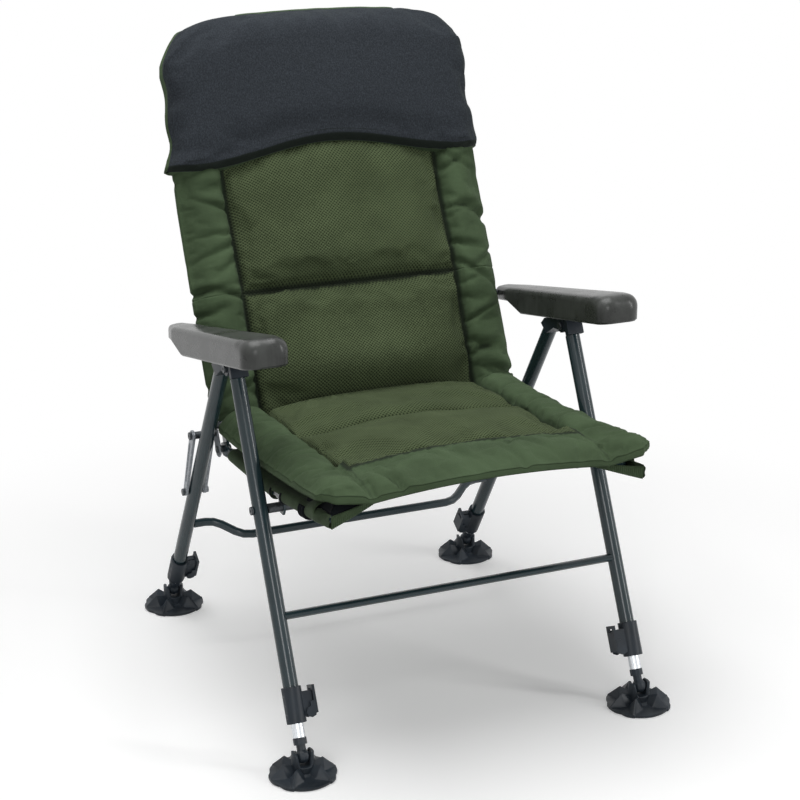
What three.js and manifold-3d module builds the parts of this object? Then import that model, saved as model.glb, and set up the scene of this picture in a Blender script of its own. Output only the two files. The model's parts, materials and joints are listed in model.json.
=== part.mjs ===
// A folding high-backed chair for the bank of a lake: two pairs of crossed tube legs with telescopic
// feet, a sling seat and a sling back with padded mattresses, hollow armrests, and a fold that brings
// the legs together while the seat lifts towards the back.
// Millimetres. +X is the sitter's left, -Y the front, +Z up. The origin lies on the ground between the feet.

import * as THREE from 'three';
import { mergeVertices } from 'three/addons/utils/BufferGeometryUtils.js';
import Module from 'manifold-3d';

const wasm = await Module();
wasm.setup();

// Driving dimensions: stance and legs
const legPlane = 306;
const frontFootReach = 354;
const rearFootReach = 345;
const ballHeight = 35;
const frontLean = THREE.MathUtils.degToRad(26.6);
const legRadius = 12.5;
const legWall = 1.5;
const frontTubeEnd = 612;
const forkReach = 64.7;
const forkDrop = 22.23;
const runningGap = 0.3;
const seatGap = 0.3;
const mergeDistance = 0.001;

// Driving dimensions: pivots of the fold
const seatPivotHeight = 390;
const legHingeHeight = 597;
const legHingeSetback = 9;
const hingeBack = 114;
const hingeHeight = 391;
const linkPinBehind = 12;
const linkPinAbove = 27;
const linkFootHeight = 294;
const armPivotHeight = 588;
const armPivotShare = 0.79;

// Driving dimensions: telescopic feet
const innerRadius = 10;
const innerWall = 1.3;
const innerTop = 330;
const frontClampFoot = 52;
const rearClampFoot = 38;
const clampLength = 58;
const clampRadius = 16.5;
const clampLip = 20;
const clampReach = 24;
const clampEye = 6;
const clampBlockWidth = 19;
const clampBlockLength = 34;
const clampPinHeight = 14;
const clampSplit = 2;
const pinRadius = 2.5;
const leverThickness = 4.6;
const leverLength = 42;
const leverCheek = 3.2;
const leverCheekRadius = 9;
const leverLoop = 6;
const leverLoopMargin = 5;
const scallopRadius = 9;
const scallopDepth = 1.6;
const scallopCount = 3;
const ballRadius = 12;
const ballSteps = 5;
const neckRadius = 7.5;
const collarFoot = 18;
const collarLength = 11;
const collarRadius = 11;
const spigotLength = 18;
const footRadius = 55.5;
const footPlate = 5;
const footDome = 9;
const cupRadius = 18.5;
const cupTop = 43;
const lugHalf = 10;
const lugHeight = 27;
const lugTurns = [38, 89, 140];
const trunnionRadius = 3;

// Driving dimensions: seat frame, back frame and crossbars
const railPlane = 268;
const seatTubeRadius = 10;
const backTubeRadius = 11;
const frameWall = 1.5;
const seatKneeBack = 134;
const seatKneeHeight = 405;
const seatFrontReach = 398;
const seatFrontHeight = 447;
const seatCornerRadius = 45;
const seatBarSetback = 62;
const seatBarHalf = 180;
const seatBarHeight = seatFrontHeight + 23;
const barCrest = 34;
const barSlope = 40;
const backKneeHeight = 775;
const backUpperTilt = THREE.MathUtils.degToRad(19.5);
const backKneeEase = 40;
const backTopHeight = 1066;
const backCornerRadius = 75;
const backTopInset = 6;
const frontBarHeight = 234;
const frontBarTall = 24;
const frontBarDeep = 14;
const frontBarWall = 1.5;
const rearBarHeight = 207;
const rearBarRadius = 8;
const rearBarBow = 42;
const rearBarStraight = 50;
const rearBarShoulder = 95;

// Driving dimensions: brackets, plates, bolts and links
const boltRadius = 4;
const boltHeadRadius = 7;
const boltHead = 4;
const pivotBarRadius = 8;
const pivotBarLength = 44;
const tabThickness = 4;
const tabRadius = 13;
const plateThickness = 3.4;
const tubeSetback = 36;
const lugReach = 58;
const lugRadius = 12;
const lugHeel = 7;
const lapThickness = 5;
const spacerRadius = 6.5;
const linkMargin = 3.5;
const recessShares = [0.18, 0.8];
const recessFlats = 5;
const plateRadius = 14;
const linkThickness = 5;
const linkHeadRadius = 10;
const linkFootRadius = 7;
const linkRecess = 1.5;
const linkStandoff = 2.2;
const hingeWidth = 30;
const tongueWidth = 18;
const tongueRadius = 11.5;
const cheekRadius = 12.5;
const cheekChinShare = 0.45;
const blockFront = 16;
const blockTop = 640;
const plugLength = 24;

// Driving dimensions: armrests
const armRearEnd = 215;
const armTip = 245;
const armSlope = THREE.MathUtils.degToRad(12.4);
const armThin = 23;
const armThick = 45;
const armStepRear = 154;
const armStepFront = 99;
const armTopAtStep = 610;
const armRearInner = 300;
const armRearOuter = 334;
const armStepInner = 292;
const armStepOuter = 347;
const armFrontInner = 270;
const armFrontOuter = 348;
const armWall = 3;
const armEdgeRound = 12;
const armShares = [0, 0.35, 0.7, 1];
const noseShares = [0.3, 0.6, 0.85, 1];
const noseShare = 0.45;
const rackWidth = 12;
const rackInset = 8;
const rackRearEnd = 22;
const rackFrontEnd = 158;
const rackNotchPitch = 15;
const rackNotch = 8;

// Driving dimensions: slings and mattresses
const slingThickness = 2;
const slingRear = 66;
const slingFront = 350;
const slingGap = 0.4;
const backSlingTop = 830;
const hookReturn = 3;
const notchHalf = 24;
const slingShares = [0.95, 0.84, 0.67, 0, -0.67, -0.84, -0.95];
const backSlingLow = 440;
const padHalfWidth = 288;
const seatRearEdge = 84;
const seatSplit = -62;
const seatFrontEdge = -404;
const seamHalfWidth = 204;
const boxing = 12;
const padGap = 1;
const slingMargin = 4;
const barMargin = 16;
const padShares = [0, 0.22, 0.44, 0.6, 0.675, 0.708, 0.741, 0.82, 0.91, 0.982, 1];
const headShares = [0, 0.25, 0.5, 0.7, 0.82, 0.9, 0.955, 0.99, 1];
const padEdgeRear = seatKneeHeight + 40;
const padEdgePower = 1.5;
const panelPower = 6;
const baseEdgePower = 8;
const padEdgeFront = seatFrontHeight + 45;
const waveDrop = 12;
const waveRunShare = 0.41;
const seamRear = seatKneeHeight + 55;
const seamFront = seatFrontHeight + 29;
const seatSeamRear = 68;
const frontSeam = -290;
const frontSeamBow = -36;
const bolsterEndShare = 0.55;
const backSeamLow = 40;
const backSeamMiddle = 46;
const backSeamHigh = 24;
const backEdgeLow = 28;
const backEdgeHigh = 12;
const padLeast = 6;
const headEdge = 12;
const headBack = 22;
const headEdgePower = 12;
const headRowShares = [0, 0.12, 0.35, 0.58, 0.75, 0.86, 0.94, 0.985, 1];
const headTopShare = 0.8;
const seatPanelCrown = 11;
const bolsterCrown = 13;
const seamDepth = 8;
const backPadLow = 448;
const backPadSplit = 630;
const headHalfWidth = 300;
const headLow = 842;
const headTop = 1094;
const headThickness = 52;
const headCornerRadius = 95;
const headArch = 32;

// Counts of flats on round pieces
const legFlats = 12;
const tubeFlats = 10;
const boltFlats = 8;
const hookFlats = 8;
const footFlats = 16;
const bendStep = THREE.MathUtils.degToRad(24);

const up = new THREE.Vector3(0, 0, 1);
const across = new THREE.Vector3(1, 0, 0);
const sides = { left: -1, right: 1 };

// The rear leg runs from its foot to the fork behind the leg-top hinge
const legHingeAt = (legHingeHeight - ballHeight) * Math.tan(frontLean) + legHingeSetback - frontFootReach;
const rearRun = rearFootReach - legHingeAt - forkReach;
const rearRise = legHingeHeight - forkDrop - ballHeight;
const rearLean = Math.atan2(rearRun, rearRise);
const rearTubeEnd = Math.hypot(rearRun, rearRise);

// Finishes
function finish(color, roughness, metalness) {
  return new THREE.MeshStandardMaterial({ color, roughness, metalness });
}
const powderCoat = finish(0x3a4748, 0.4, 0.5);
const brightTube = finish(0xc9cccf, 0.25, 0.9);
const blackPlastic = finish(0x262a2d, 0.55, 0.0);
const armPlastic = finish(0x3b3c3d, 0.45, 0.0);
const greyPlate = finish(0x858b8f, 0.4, 0.6);
const steel = finish(0x2c2f31, 0.35, 0.8);
const greenCloth = finish(0x33472f, 0.9, 0.0);
const meshCloth = finish(0x566238, 0.95, 0.0);
const headCloth = finish(0x2c2f2e, 0.9, 0.0);

// Places on the legs: a distance from the ball along the leg's axis, and one square to it, towards the rear
const legs = {
  front: { ball: -frontFootReach, rise: new THREE.Vector3(0, Math.sin(frontLean), Math.cos(frontLean)) },
  rear: { ball: rearFootReach, rise: new THREE.Vector3(0, -Math.sin(rearLean), Math.cos(rearLean)) },
};
for (const leg of Object.values(legs)) {
  leg.behind = new THREE.Vector3(0, leg.rise.z, -leg.rise.y);
  leg.foot = new THREE.Vector3(0, leg.ball, ballHeight);
}
const onLeg = (leg, side, along, behind = 0) => leg.foot.clone()
  .addScaledVector(leg.rise, along)
  .addScaledVector(leg.behind, behind)
  .setX(side * legPlane);
const legAtHeight = (leg, height) => (height - ballHeight) / leg.rise.z;
const flat = (y, z) => new THREE.Vector2(y, z);
const flatOnLeg = (leg, along, behind = 0) => {
  const place = onLeg(leg, 0, along, behind);
  return flat(place.y, place.z);
};

// Pivots, as places in the side view
const seatPivot = flatOnLeg(legs.front, legAtHeight(legs.front, seatPivotHeight));
const legHinge = flat(legHingeAt, legHingeHeight);
const hinge = flat(hingeBack, hingeHeight);
const linkTop = flat(hingeBack + linkPinBehind, hingeHeight + linkPinAbove);
const linkFoot = flatOnLeg(legs.rear, legAtHeight(legs.rear, linkFootHeight));
const armPivotBack = THREE.MathUtils.lerp(armStepRear, armRearEnd, armPivotShare);
const backLean = Math.atan2(armPivotBack - hingeBack, armPivotHeight - hingeHeight);
const backLine = (height) => hingeBack + (height - hingeHeight) * Math.tan(backLean);
const armPivot = flat(backLine(armPivotHeight), armPivotHeight);
const backTilt = (height) => THREE.MathUtils.mapLinear(
  THREE.MathUtils.clamp(height, backKneeHeight - backKneeEase, backKneeHeight + backKneeEase),
  backKneeHeight - backKneeEase,
  backKneeHeight + backKneeEase,
  backLean,
  backUpperTilt,
);
const backAt = (height) => {
  const knee = Math.min(height, backKneeHeight);
  return backLine(knee) + (height - knee) * Math.tan(backUpperTilt);
};

// Solids and surfaces

function solidOf(geometry) {
  const bare = geometry.index ? geometry.toNonIndexed() : geometry.clone();
  for (const name of Object.keys(bare.attributes)) {
    if (name !== 'position') {
      bare.deleteAttribute(name);
    }
  }
  const merged = mergeVertices(bare, mergeDistance);
  return new wasm.Manifold(new wasm.Mesh({
    numProp: 3,
    vertProperties: new Float32Array(merged.attributes.position.array),
    triVerts: new Uint32Array(merged.index.array),
  }));
}

function geometryOf(solid) {
  const mesh = solid.getMesh();
  const geometry = new THREE.BufferGeometry();
  geometry.setAttribute('position', new THREE.BufferAttribute(new Float32Array(mesh.vertProperties), 3));
  geometry.setIndex(new THREE.BufferAttribute(new Uint32Array(mesh.triVerts), 1));
  return geometry;
}

const joined = (...parts) => parts.reduce((whole, part) => whole.add(part));
const without = (body, ...cuts) => cuts.reduce((whole, cut) => whole.subtract(cut), body);

// A body from points and faces, turned so that its faces point outwards
function bodyOf(points, faces) {
  let volume = 0;
  for (let i = 0; i < faces.length; i += 3) {
    const [a, b, c] = [points[faces[i]], points[faces[i + 1]], points[faces[i + 2]]];
    volume += a.dot(b.clone().cross(c));
  }
  const ordered = volume > 0 ? faces : faces.slice().reverse();
  const geometry = new THREE.BufferGeometry();
  geometry.setAttribute('position', new THREE.Float32BufferAttribute(points.flatMap((p) => p.toArray()), 3));
  geometry.setIndex(ordered);
  return solidOf(geometry);
}

function bandFaces(lower, upper, count) {
  const faces = [];
  for (let i = 0; i < count; i += 1) {
    const next = (i + 1) % count;
    faces.push(lower + i, lower + next, upper + next, lower + i, upper + next, upper + i);
  }
  return faces;
}

// A skin through rings of equal count, closed at both ends by flat faces
function loft(rings, capPlane) {
  const count = rings[0].length;
  const faces = [];
  for (let r = 0; r + 1 < rings.length; r += 1) {
    faces.push(...bandFaces(r * count, (r + 1) * count, count));
  }
  const closeEnd = (ring, start, isFirst) => {
    const outline = ring.map(capPlane);
    const turned = THREE.ShapeUtils.area(outline) < 0;
    for (const [a, b, c] of THREE.ShapeUtils.triangulateShape(outline, [])) {
      faces.push(...(turned === isFirst ? [a, b, c] : [c, b, a]).map((i) => i + start));
    }
  };
  closeEnd(rings[0], 0, true);
  closeEnd(rings.at(-1), (rings.length - 1) * count, false);
  return bodyOf(rings.flat(), faces);
}

// Rings square to a path; reference is a direction that the path never takes
function ringsAlong(path, radius, count, reference, flatten = 1) {
  return path.map((place, index) => {
    const before = path[Math.max(index - 1, 0)];
    const after = path[Math.min(index + 1, path.length - 1)];
    const ahead = after.clone().sub(before).normalize();
    const sideways = reference.clone().cross(ahead).normalize();
    const outwards = ahead.clone().cross(sideways);
    return Array.from({ length: count }, (_, i) => {
      const angle = 2 * Math.PI * (i + 1 / 2) / count;
      return place.clone()
        .addScaledVector(sideways, radius * flatten * Math.cos(angle))
        .addScaledVector(outwards, radius * Math.sin(angle));
    });
  });
}

// A hollow tube along a path, open at both ends
function pipe(path, radius, wall, count, reference, flatten = 1) {
  const outer = ringsAlong(path, radius, count, reference, flatten);
  const bore = (radius * flatten - wall) / (radius - wall);
  const inner = ringsAlong(path, radius - wall, count, reference, bore).reverse();
  const rings = [...outer, ...inner];
  const faces = [];
  for (let r = 0; r < rings.length; r += 1) {
    faces.push(...bandFaces(r * count, ((r + 1) % rings.length) * count, count));
  }
  return bodyOf(rings.flat(), faces);
}

// A solid rod along a path
function rod(path, radius, count, reference) {
  const rings = ringsAlong(path, radius, count, reference);
  const faces = [];
  for (let r = 0; r + 1 < rings.length; r += 1) {
    faces.push(...bandFaces(r * count, (r + 1) * count, count));
  }
  const last = (rings.length - 1) * count;
  for (let i = 1; i + 1 < count; i += 1) {
    faces.push(0, i + 1, i, last, last + i, last + i + 1);
  }
  return bodyOf(rings.flat(), faces);
}

// A line with its corners rounded
function rounded(corners, radius) {
  const path = [corners[0]];
  for (let i = 1; i + 1 < corners.length; i += 1) {
    const back = corners[i - 1].clone().sub(corners[i]).normalize();
    const ahead = corners[i + 1].clone().sub(corners[i]).normalize();
    const half = back.angleTo(ahead) / 2;
    const middle = corners[i].clone()
      .addScaledVector(back.clone().add(ahead).normalize(), radius / Math.sin(half));
    const start = corners[i].clone().addScaledVector(back, radius / Math.tan(half)).sub(middle);
    const end = corners[i].clone().addScaledVector(ahead, radius / Math.tan(half)).sub(middle);
    const turn = Math.PI - 2 * half;
    const steps = Math.ceil(turn / bendStep);
    for (let k = 0; k <= steps; k += 1) {
      const share = k / steps;
      path.push(middle.clone()
        .addScaledVector(start, Math.sin((1 - share) * turn) / Math.sin(turn))
        .addScaledVector(end, Math.sin(share * turn) / Math.sin(turn)));
    }
  }
  path.push(corners.at(-1));
  return path;
}

// A round bar between two places
function bar(from, to, radius, count = boltFlats) {
  const length = from.distanceTo(to);
  const rod = new THREE.CylinderGeometry(radius, radius, length, count);
  const along = to.clone().sub(from).normalize();
  const turn = new THREE.Quaternion().setFromUnitVectors(new THREE.Vector3(0, 1, 0), along);
  rod.applyQuaternion(turn);
  const middle = from.clone().add(to).divideScalar(2);
  rod.translate(middle.x, middle.y, middle.z);
  return solidOf(rod);
}

// A bar along X through a place of the side view
const crossBar = (place, fromX, toX, radius, count = boltFlats) => bar(
  new THREE.Vector3(Math.min(fromX, toX), place.x, place.y),
  new THREE.Vector3(Math.max(fromX, toX), place.x, place.y),
  radius,
  count,
);

// A stepped round piece along X through a place of the side view; each step holds its far end and its radius
function turned(place, side, start, ...steps) {
  const profile = [flat(0, start)];
  let near = start;
  for (const [end, radius] of steps) {
    profile.push(flat(radius, near), flat(radius, end));
    near = end;
  }
  profile.push(flat(0, near));
  const piece = new THREE.LatheGeometry(profile, boltFlats);
  piece.rotateZ(-side * Math.PI / 2);
  piece.translate(0, place.x, place.y);
  return solidOf(piece);
}

// The radius of a many-sided bore whose flats clear a round piece, and of a plug that clears its flats
const aroundOf = (radius, count = boltFlats) => (radius + runningGap) / Math.cos(Math.PI / count);
const insideOf = (radius, count = legFlats) => radius * Math.cos(Math.PI / count) - seatGap;
const boltWay = (place, fromX, toX) => crossBar(place, fromX, toX, aroundOf(boltRadius));

// A side-view outline made into a plate between two planes
function plate(outline, fromX, toX) {
  const shape = new THREE.Shape(outline);
  const solid = new THREE.ExtrudeGeometry(shape, { depth: Math.abs(toX - fromX), bevelEnabled: false });
  solid.applyMatrix4(new THREE.Matrix4().makeBasis(
    new THREE.Vector3(0, 1, 0),
    new THREE.Vector3(0, 0, 1),
    across,
  ));
  solid.translate(Math.min(fromX, toX), 0, 0);
  return solidOf(solid);
}

// The outline of a strap between two round ends of the side view
function strap(from, fromRadius, to, toRadius, count = boltFlats / 2) {
  const heading = Math.atan2(to.y - from.y, to.x - from.x);
  const spread = Math.acos((fromRadius - toRadius) / from.distanceTo(to));
  const outline = [];
  for (let i = 0; i <= count; i += 1) {
    const angle = heading + spread + (2 * Math.PI - 2 * spread) * i / count;
    outline.push(flat(from.x + fromRadius * Math.cos(angle), from.y + fromRadius * Math.sin(angle)));
  }
  for (let i = 0; i <= count; i += 1) {
    const angle = heading - spread + 2 * spread * i / count;
    outline.push(flat(to.x + toRadius * Math.cos(angle), to.y + toRadius * Math.sin(angle)));
  }
  return outline;
}

const chair = new THREE.Group();

function add(name, solid, material) {
  const mesh = new THREE.Mesh(geometryOf(solid), material);
  mesh.name = name;
  chair.add(mesh);
}

// A box in a leg's own directions: across, behind and along
function legBox(leg, side, x, behind, along) {
  const box = new THREE.BoxGeometry(x[1] - x[0], behind[1] - behind[0], along[1] - along[0]);
  box.applyMatrix4(new THREE.Matrix4().makeBasis(across, leg.behind, leg.rise));
  const middle = onLeg(leg, side, (along[0] + along[1]) / 2, (behind[0] + behind[1]) / 2);
  box.translate(middle.x + side * (x[0] + x[1]) / 2, middle.y, middle.z);
  return solidOf(box);
}

// Leg tubes, with bores for the bolts that cross them
const clampFeet = { front: frontClampFoot, rear: rearClampFoot };
const tubeEnds = { front: frontTubeEnd, rear: rearTubeEnd };
const tubeBolts = { front: seatPivot, rear: linkFoot };
for (const [end, leg] of Object.entries(legs)) {
  const tubeFoot = clampFeet[end] + clampLip;
  for (const [hand, side] of Object.entries(sides)) {
    const path = [onLeg(leg, side, tubeFoot), onLeg(leg, side, tubeEnds[end])];
    const bore = boltWay(
      tubeBolts[end],
      side * (legPlane - 2 * legRadius),
      side * (legPlane + 2 * legRadius),
    );
    add(`${end}_leg_${hand}`, without(pipe(path, legRadius, legWall, legFlats, across), bore), powderCoat);
  }
}

// Front crossbar: a flat-oval tube, its ends hollowed to lie on the leg tubes
{
  const place = flatOnLeg(legs.front, legAtHeight(legs.front, frontBarHeight));
  const ends = [-legPlane, legPlane].map((x) => new THREE.Vector3(x, place.x, place.y));
  const oval = frontBarDeep / frontBarTall;
  const blank = pipe(ends, frontBarTall / 2, frontBarWall, tubeFlats, legs.front.behind, oval);
  const saddles = Object.values(sides).map((side) => bar(
    onLeg(legs.front, side, clampFeet.front),
    onLeg(legs.front, side, frontTubeEnd),
    aroundOf(legRadius, legFlats),
    legFlats,
  ));
  const outside = Object.values(sides).map((side) => legBox(
    legs.front,
    side,
    [0, 2 * legRadius],
    [-frontBarTall, frontBarTall],
    [0, frontTubeEnd],
  ));
  add('front_crossbar', without(blank, ...saddles, ...outside), powderCoat);
}

// Rear crossbar: a round tube that leaves the legs square, then bows forward
{
  const along = legAtHeight(legs.rear, rearBarHeight);
  const corners = [
    onLeg(legs.rear, -1, along),
    onLeg(legs.rear, -1, along).add(new THREE.Vector3(rearBarStraight, 0, 0)),
    onLeg(legs.rear, -1, along, -rearBarBow).add(new THREE.Vector3(rearBarShoulder, 0, 0)),
    onLeg(legs.rear, 1, along, -rearBarBow).add(new THREE.Vector3(-rearBarShoulder, 0, 0)),
    onLeg(legs.rear, 1, along).add(new THREE.Vector3(-rearBarStraight, 0, 0)),
    onLeg(legs.rear, 1, along),
  ];
  const blank = pipe(rounded(corners, rearBarBow), rearBarRadius, frameWall, boltFlats, legs.rear.rise);
  const saddles = Object.values(sides).map((side) => bar(
    onLeg(legs.rear, side, clampFeet.rear),
    onLeg(legs.rear, side, rearTubeEnd),
    aroundOf(legRadius, legFlats),
    legFlats,
  ));
  const outside = Object.values(sides).map((side) => legBox(
    legs.rear,
    side,
    [0, 2 * legRadius],
    [-rearBarBow, rearBarBow],
    [0, rearTubeEnd],
  ));
  add('rear_crossbar', without(blank, ...saddles, ...outside), powderCoat);
}

// Leg-top hinge: a block with a tongue on the front leg, a fork on the rear leg, and a bolt through both
const plugRadius = insideOf(legRadius - legWall);
const hingeBehind = legHingeSetback * Math.cos(frontLean);
for (const [hand, side] of Object.entries(sides)) {
  const half = hingeWidth / 2;
  const tongueHalf = tongueWidth / 2;
  const shoulder = hingeBehind - cheekRadius - 2 * runningGap;
  const plug = bar(
    onLeg(legs.front, side, frontTubeEnd - plugLength),
    onLeg(legs.front, side, frontTubeEnd + plugRadius / 2),
    plugRadius,
  );
  const face = legBox(
    legs.front,
    side,
    [-half, half],
    [-blockFront, shoulder],
    [frontTubeEnd + seatGap, blockTop],
  );
  const web = legBox(
    legs.front,
    side,
    [-tongueHalf, tongueHalf],
    [shoulder - frameWall, hingeBehind],
    [frontTubeEnd + seatGap, blockTop],
  );
  const tongue = crossBar(
    legHinge,
    side * (legPlane - tongueHalf),
    side * (legPlane + tongueHalf),
    tongueRadius,
    legFlats,
  );
  const bore = boltWay(legHinge, side * (legPlane - hingeWidth), side * (legPlane + hingeWidth));
  add(`front_hinge_block_${hand}`, without(joined(plug, face, web, tongue), bore), blackPlastic);

  const tubeFront = flatOnLeg(legs.rear, rearTubeEnd + seatGap, -legRadius);
  const tubeBack = flatOnLeg(legs.rear, rearTubeEnd + seatGap, legRadius);
  const armWaist = legHinge.clone().lerp(tubeFront, 1 / 2).add(flat(0, cheekRadius / 4));
  const crest = tubeBack.clone().add(flat(-legRadius, legRadius));
  const outline = [
    legHinge.clone().add(flat(0, cheekRadius)),
    crest,
    tubeBack,
    tubeFront,
    armWaist,
    legHinge.clone().add(flat(cheekRadius * cheekChinShare, -cheekRadius * (1 - cheekChinShare / 2))),
  ];
  const slab = plate(outline, side * (legPlane - half), side * (legPlane + half));
  const eye = crossBar(legHinge, side * (legPlane - half), side * (legPlane + half), cheekRadius, legFlats);
  const mouth = crossBar(
    legHinge,
    side * (legPlane - tongueHalf - runningGap),
    side * (legPlane + tongueHalf + runningGap),
    tongueRadius + blockFront / 4,
    legFlats,
  );
  const rearPlug = bar(
    onLeg(legs.rear, side, rearTubeEnd - plugLength),
    onLeg(legs.rear, side, rearTubeEnd + plugRadius / 2),
    plugRadius,
  );
  add(`rear_hinge_fork_${hand}`, joined(without(joined(slab, eye), mouth, bore), rearPlug), blackPlastic);
}
for (const [hand, side] of Object.entries(sides)) {
  const half = hingeWidth / 2 + seatGap;
  add(`leg_hinge_bolt_${hand}`, turned(
    legHinge,
    side,
    legPlane - half - boltHead,
    [legPlane - half, boltHeadRadius],
    [legPlane + half, boltRadius],
    [legPlane + half + boltHead, boltHeadRadius],
  ), steel);
}

// Clamps, levers, inner legs, ball stems and feet, one set for each corner
const innerFoot = collarFoot + collarLength + seatGap;
for (const [end, leg] of Object.entries(legs)) {
  const clampFoot = clampFeet[end];
  const tubeFoot = clampFoot + clampLip;
  const pinAlong = clampFoot + clampPinHeight;
  for (const [hand, side] of Object.entries(sides)) {
    const corner = `${end}_${hand}`;
    const blockHalf = clampBlockWidth / 2;
    const sleeve = bar(
      onLeg(leg, side, clampFoot),
      onLeg(leg, side, clampFoot + clampLength),
      clampRadius,
      legFlats,
    );
    const pinPlace = (offset) => onLeg(leg, side, pinAlong, offset)
      .add(new THREE.Vector3(-side * clampReach, 0, 0));
    const block = legBox(
      leg,
      side,
      [-clampReach - clampEye, 0],
      [-blockHalf, blockHalf],
      [pinAlong, pinAlong + clampBlockLength],
    );
    const heel = legBox(
      leg,
      side,
      [-clampReach, 0],
      [-blockHalf, blockHalf],
      [pinAlong - clampEye, pinAlong],
    );
    const eye = bar(pinPlace(-blockHalf), pinPlace(blockHalf), clampEye);
    const split = legBox(
      leg,
      side,
      [-clampReach - 2 * clampEye, -innerRadius],
      [-clampSplit / 2, clampSplit / 2],
      [clampFoot - clampLip, clampFoot + clampLength + clampLip],
    );
    const tubeBore = bar(
      onLeg(leg, side, tubeFoot - seatGap),
      onLeg(leg, side, clampFoot + clampLength + clampLip),
      aroundOf(legRadius, legFlats),
      legFlats,
    );
    const innerWay = bar(
      onLeg(leg, side, 0),
      onLeg(leg, side, tubeEnds[end]),
      aroundOf(innerRadius, legFlats),
      legFlats,
    );
    const pinBore = bar(pinPlace(-clampReach), pinPlace(clampReach), aroundOf(pinRadius));
    const scallops = Array.from({ length: scallopCount }, (_, i) => {
      const place = onLeg(leg, side, clampFoot + clampLength * (i + 1) / (scallopCount + 1))
        .add(new THREE.Vector3(side * (clampRadius + scallopRadius - scallopDepth), 0, 0));
      return bar(
        place.clone().addScaledVector(leg.behind, -clampRadius),
        place.clone().addScaledVector(leg.behind, clampRadius),
        scallopRadius,
      );
    });
    add(
      `${end}_clamp_${hand}`,
      without(joined(sleeve, block, heel, eye), split, tubeBore, innerWay, pinBore, ...scallops),
      blackPlastic,
    );

    const palmAt = -clampReach - clampEye - runningGap;
    const leverTop = pinAlong + leverLength;
    const palm = legBox(
      leg,
      side,
      [palmAt - leverThickness, palmAt],
      [-blockHalf - leverCheek, blockHalf + leverCheek],
      [pinAlong - clampEye / 2, leverTop],
    );
    const cheekAt = blockHalf + runningGap;
    const cheeks = [-1, 1].flatMap((face) => [
      bar(pinPlace(face * cheekAt), pinPlace(face * (cheekAt + leverCheek)), leverCheekRadius),
      legBox(
        leg,
        side,
        [palmAt - leverThickness / 2, -clampReach],
        face < 0 ? [-cheekAt - leverCheek, -cheekAt] : [cheekAt, cheekAt + leverCheek],
        [pinAlong, pinAlong + clampBlockLength / 2],
      ),
    ]);
    const loop = legBox(
      leg,
      side,
      [palmAt - 2 * leverThickness, palmAt + leverThickness],
      [-blockHalf + leverLoopMargin / 2, blockHalf - leverLoopMargin / 2],
      [leverTop - leverLoop - leverLoopMargin, leverTop - leverLoopMargin],
    );
    const pin = bar(pinPlace(-cheekAt - leverCheek / 2), pinPlace(cheekAt + leverCheek / 2), pinRadius);
    add(`${end}_clamp_lever_${hand}`, joined(without(joined(palm, ...cheeks), loop), pin), blackPlastic);

    const innerEnd = Math.min(innerTop, legAtHeight(leg, tubeBolts[end].y) - boltRadius - clampLip);
    const innerPath = [onLeg(leg, side, innerFoot), onLeg(leg, side, innerEnd)];
    add(`${end}_inner_leg_${hand}`, pipe(innerPath, innerRadius, innerWall, legFlats, across), brightTube);

    const centre = onLeg(leg, side, 0);
    const arc = Array.from({ length: ballSteps + 1 }, (_, i) => {
      const angle = (Math.acos(neckRadius / ballRadius) + Math.PI / 2) * i / ballSteps - Math.PI / 2;
      return flat(ballRadius * Math.cos(angle), ballRadius * Math.sin(angle));
    });
    arc[0].x = 0;
    const collarTop = collarFoot + collarLength;
    const spigotRadius = insideOf(innerRadius - innerWall);
    const stem = new THREE.LatheGeometry([
      ...arc,
      flat(neckRadius, collarFoot),
      flat(collarRadius, collarFoot),
      flat(collarRadius, collarTop),
      flat(spigotRadius, collarTop),
      flat(spigotRadius, innerFoot + spigotLength),
      flat(0, innerFoot + spigotLength),
    ], tubeFlats);
    stem.applyQuaternion(new THREE.Quaternion().setFromUnitVectors(new THREE.Vector3(0, 1, 0), leg.rise));
    stem.translate(centre.x, centre.y, centre.z);
    const trunnion = crossBar(
      flat(centre.y, centre.z),
      centre.x - cupRadius + seatGap,
      centre.x + cupRadius - seatGap,
      trunnionRadius,
    );
    add(`${end}_ball_stem_${hand}`, joined(solidOf(stem), trunnion), blackPlastic);

    add(`${end}_foot_${hand}`, footBody(centre), blackPlastic);
  }
}

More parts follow.
